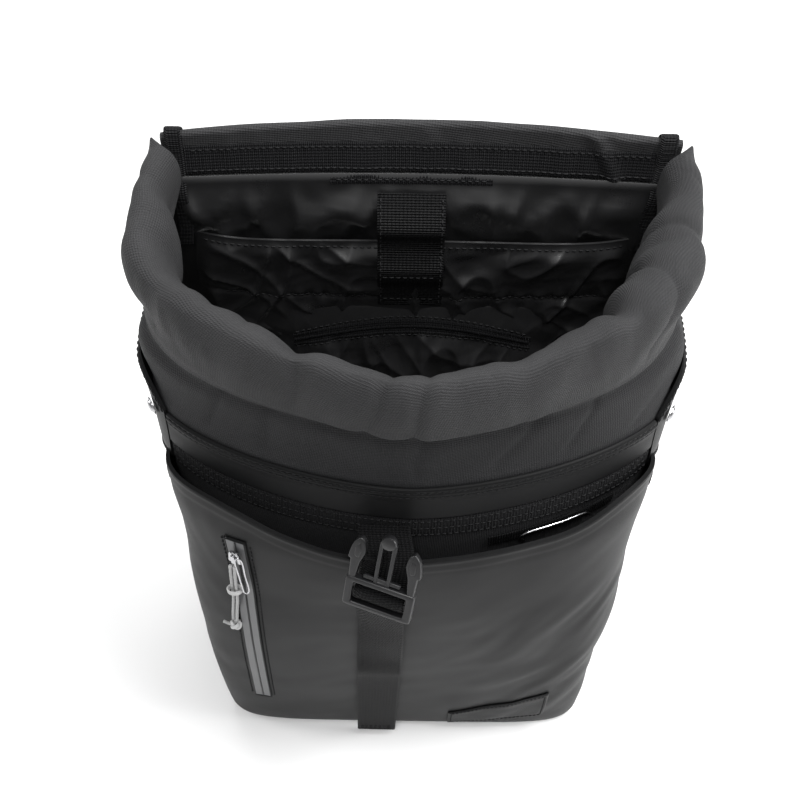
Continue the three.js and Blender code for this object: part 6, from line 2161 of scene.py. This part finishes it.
handle_left = [(-46, 0), (-38, 0), (-38 * 0.8, 0.35), (-38 * 0.45, 0.85)]
handle_places = handle_left + [(0, 1)] + [(-x, lift) for x, lift in reversed(handle_left)]
points = []
for x, lift in handle_places:
    y = float(back_at(x, HANDLE_LEVEL)) + LAYER_GAP + 1.1 + 0.8 + 20 * lift
    points.append((x, y, HANDLE_LEVEL))
handle_line = smooth_line(points, 300)
handle = webbing("haul_handle", handle_line, (0, 0, 1), 15, 2.2, "herringbone", 0.7, 19)
finish_piece(handle, WEBBING, WEBBING_SLOT, "grab_handle")
for offset in (-3.5, 3.5):
    for left, right in ((-45, -39), (39, 45)):
        t = np.linspace(0, 1, 30)
        x = left + (right - left) * t
        row = np.stack(
            [x, back_at(x, HANDLE_LEVEL) + LAYER_GAP + 3.1, np.full(30, HANDLE_LEVEL + offset)], -1
        )
        stitch(row, (0.0, 1.0, 0.0), 2.2, 1.0)

CLOSING_TOP, CLOSING_LENGTH = BODY_HEIGHT - 12, 124.0
SOCKET_TOP, SOCKET_LENGTH, SOCKET_DEPTH = CLOSING_TOP - CLOSING_LENGTH, 42.0, 10.0
points = []
for along, out in ((0, 0.5), (0.18, 0.9), (0.38, 1.6), (0.58, 2.6), (0.997, 3.6)):
    z = CLOSING_TOP - along * CLOSING_LENGTH
    points.append((0.0, float(back_at(0.0, z)) + LAYER_GAP + WEBBING_THICK / 2 + out, z))
closing_line = smooth_line(points, 260)
closing = webbing(
    "closing_webbing", closing_line, (1, 0, 0), FRONT_WEBBING, WEBBING_THICK, "herringbone", 0.8, 29
)
finish_piece(closing, WEBBING, WEBBING_SLOT, "closing_strap")
for drop in (4, 12):
    across_row(closing_line[drop * 2], 13, (0.0, 1.0, 0.0), 0.95, 100, 2.4)
sew("handle_stitches")


def make_socket():
    half = BUCKLE_WIDTH / 2
    outline = rounded(
        [(-half + 3, 0), (half - 3, 0), (half, 4), (half, 42), (-half, 42), (-half, 4)], 2.0
    )
    shell = (SOCKET_DEPTH - 5.4) / 2
    cover, faces = plate(outline, shell, (), 0.6)
    rise = np.array((0, 0, 2.7 + shell / 2 - 0.05))
    front_plate, back_plate = (cover + rise, faces), (cover - rise, faces)
    core_outline = [
        (-half, 4), (-half + 4, 4), (-half + 4, 24), (half - 4, 24),
        (half - 4, 4), (half, 4), (half, 42), (-half, 42),
    ]
    core = plate(rounded(core_outline, 0.8), 6.0, (), 0.3)
    foot = SOCKET_TOP - 42
    depth = float(back_at(0.0, foot)) + SOCKET_DEPTH / 2 + LAYER_GAP + 0.6
    matrix = Matrix.Translation((0, depth, foot)) @ Matrix.Rotation(math.pi / 2, 4, "X")
    return merged("socket_half", [core, front_plate, back_plate], matrix)


finish_piece(make_socket(), PLASTIC, "black_plastic", "buckle_socket")
print("straps, handle and socket made")

# %% [markdown]
# ## Floor and light
#
# The floor is plain and pale. A soft key light stands above on the right, one light
# looks into the bag, one from each side lifts the sides of the roll and the body, and
# one from behind lights its far rim. The world is plain white and weak: it fills the
# shadows, so black cloth does not turn into a flat dark shape.

# %% Floor and light


FLOOR_HALF, FLOOR_LEVEL = 6.0, -0.0005


def make_floor():
    corners = [(x, y, FLOOR_LEVEL) for x, y in rectangle(*(-FLOOR_HALF, FLOOR_HALF) * 2)]
    mesh = bpy.data.meshes.new("floor")
    mesh.from_pydata(corners, [], [(0, 1, 2, 3)])
    floor = bpy.data.objects.new("floor", mesh)
    bpy.context.scene.collection.objects.link(floor)
    material, tree, shader, factor = new_material("pale floor", (0.90,) * 3, (0.94,) * 3)
    place = tree.nodes.new("ShaderNodeTexCoord")
    tree.links.new(noise_node(tree, place.outputs["Object"], 3.0, 2.0), factor)
    shader.inputs["Roughness"].default_value = 0.8
    shader.inputs["Specular IOR Level"].default_value = 0.2
    floor.data.materials.append(material)


def area_light(name, place, target, size, power):
    data = bpy.data.lights.new(name, "AREA")
    data.shape, data.size, data.size_y, data.energy = "RECTANGLE", size[0], size[1], power
    lamp = bpy.data.objects.new(name, data)
    lamp.location = place
    towards = Vector(target) - Vector(place)
    lamp.rotation_euler = towards.to_track_quat("-Z", "Y").to_euler()
    bpy.context.scene.collection.objects.link(lamp)


make_floor()
world = bpy.data.worlds.new("studio")
bpy.context.scene.world = world
world.use_nodes = True
sky = world.node_tree.nodes["Background"]
sky.inputs["Color"].default_value = (1.0, 1.0, 1.0, 1)
sky.inputs["Strength"].default_value = 0.42
area_light("key", (0.55, 0.02, 1.7), (0, 0, 0.2), (0.6, 0.4), 23)
area_light("inside", (-0.1, -0.6, 1.7), (0, 0.05, 0.4), (0.35, 0.3), 9)
area_light("right", (1.5, -0.1, 0.75), (0, 0, 0.3), (0.5, 0.8), 14)
area_light("left", (-1.3, 0.25, 0.8), (0, 0, 0.35), (0.3, 0.7), 5)
area_light("top", (0, 0.5, 1.7), (0, 0.0, 0.3), (1.0, 0.5), 12)
bpy.context.scene.view_settings.view_transform = "Standard"
print("floor and lights made")
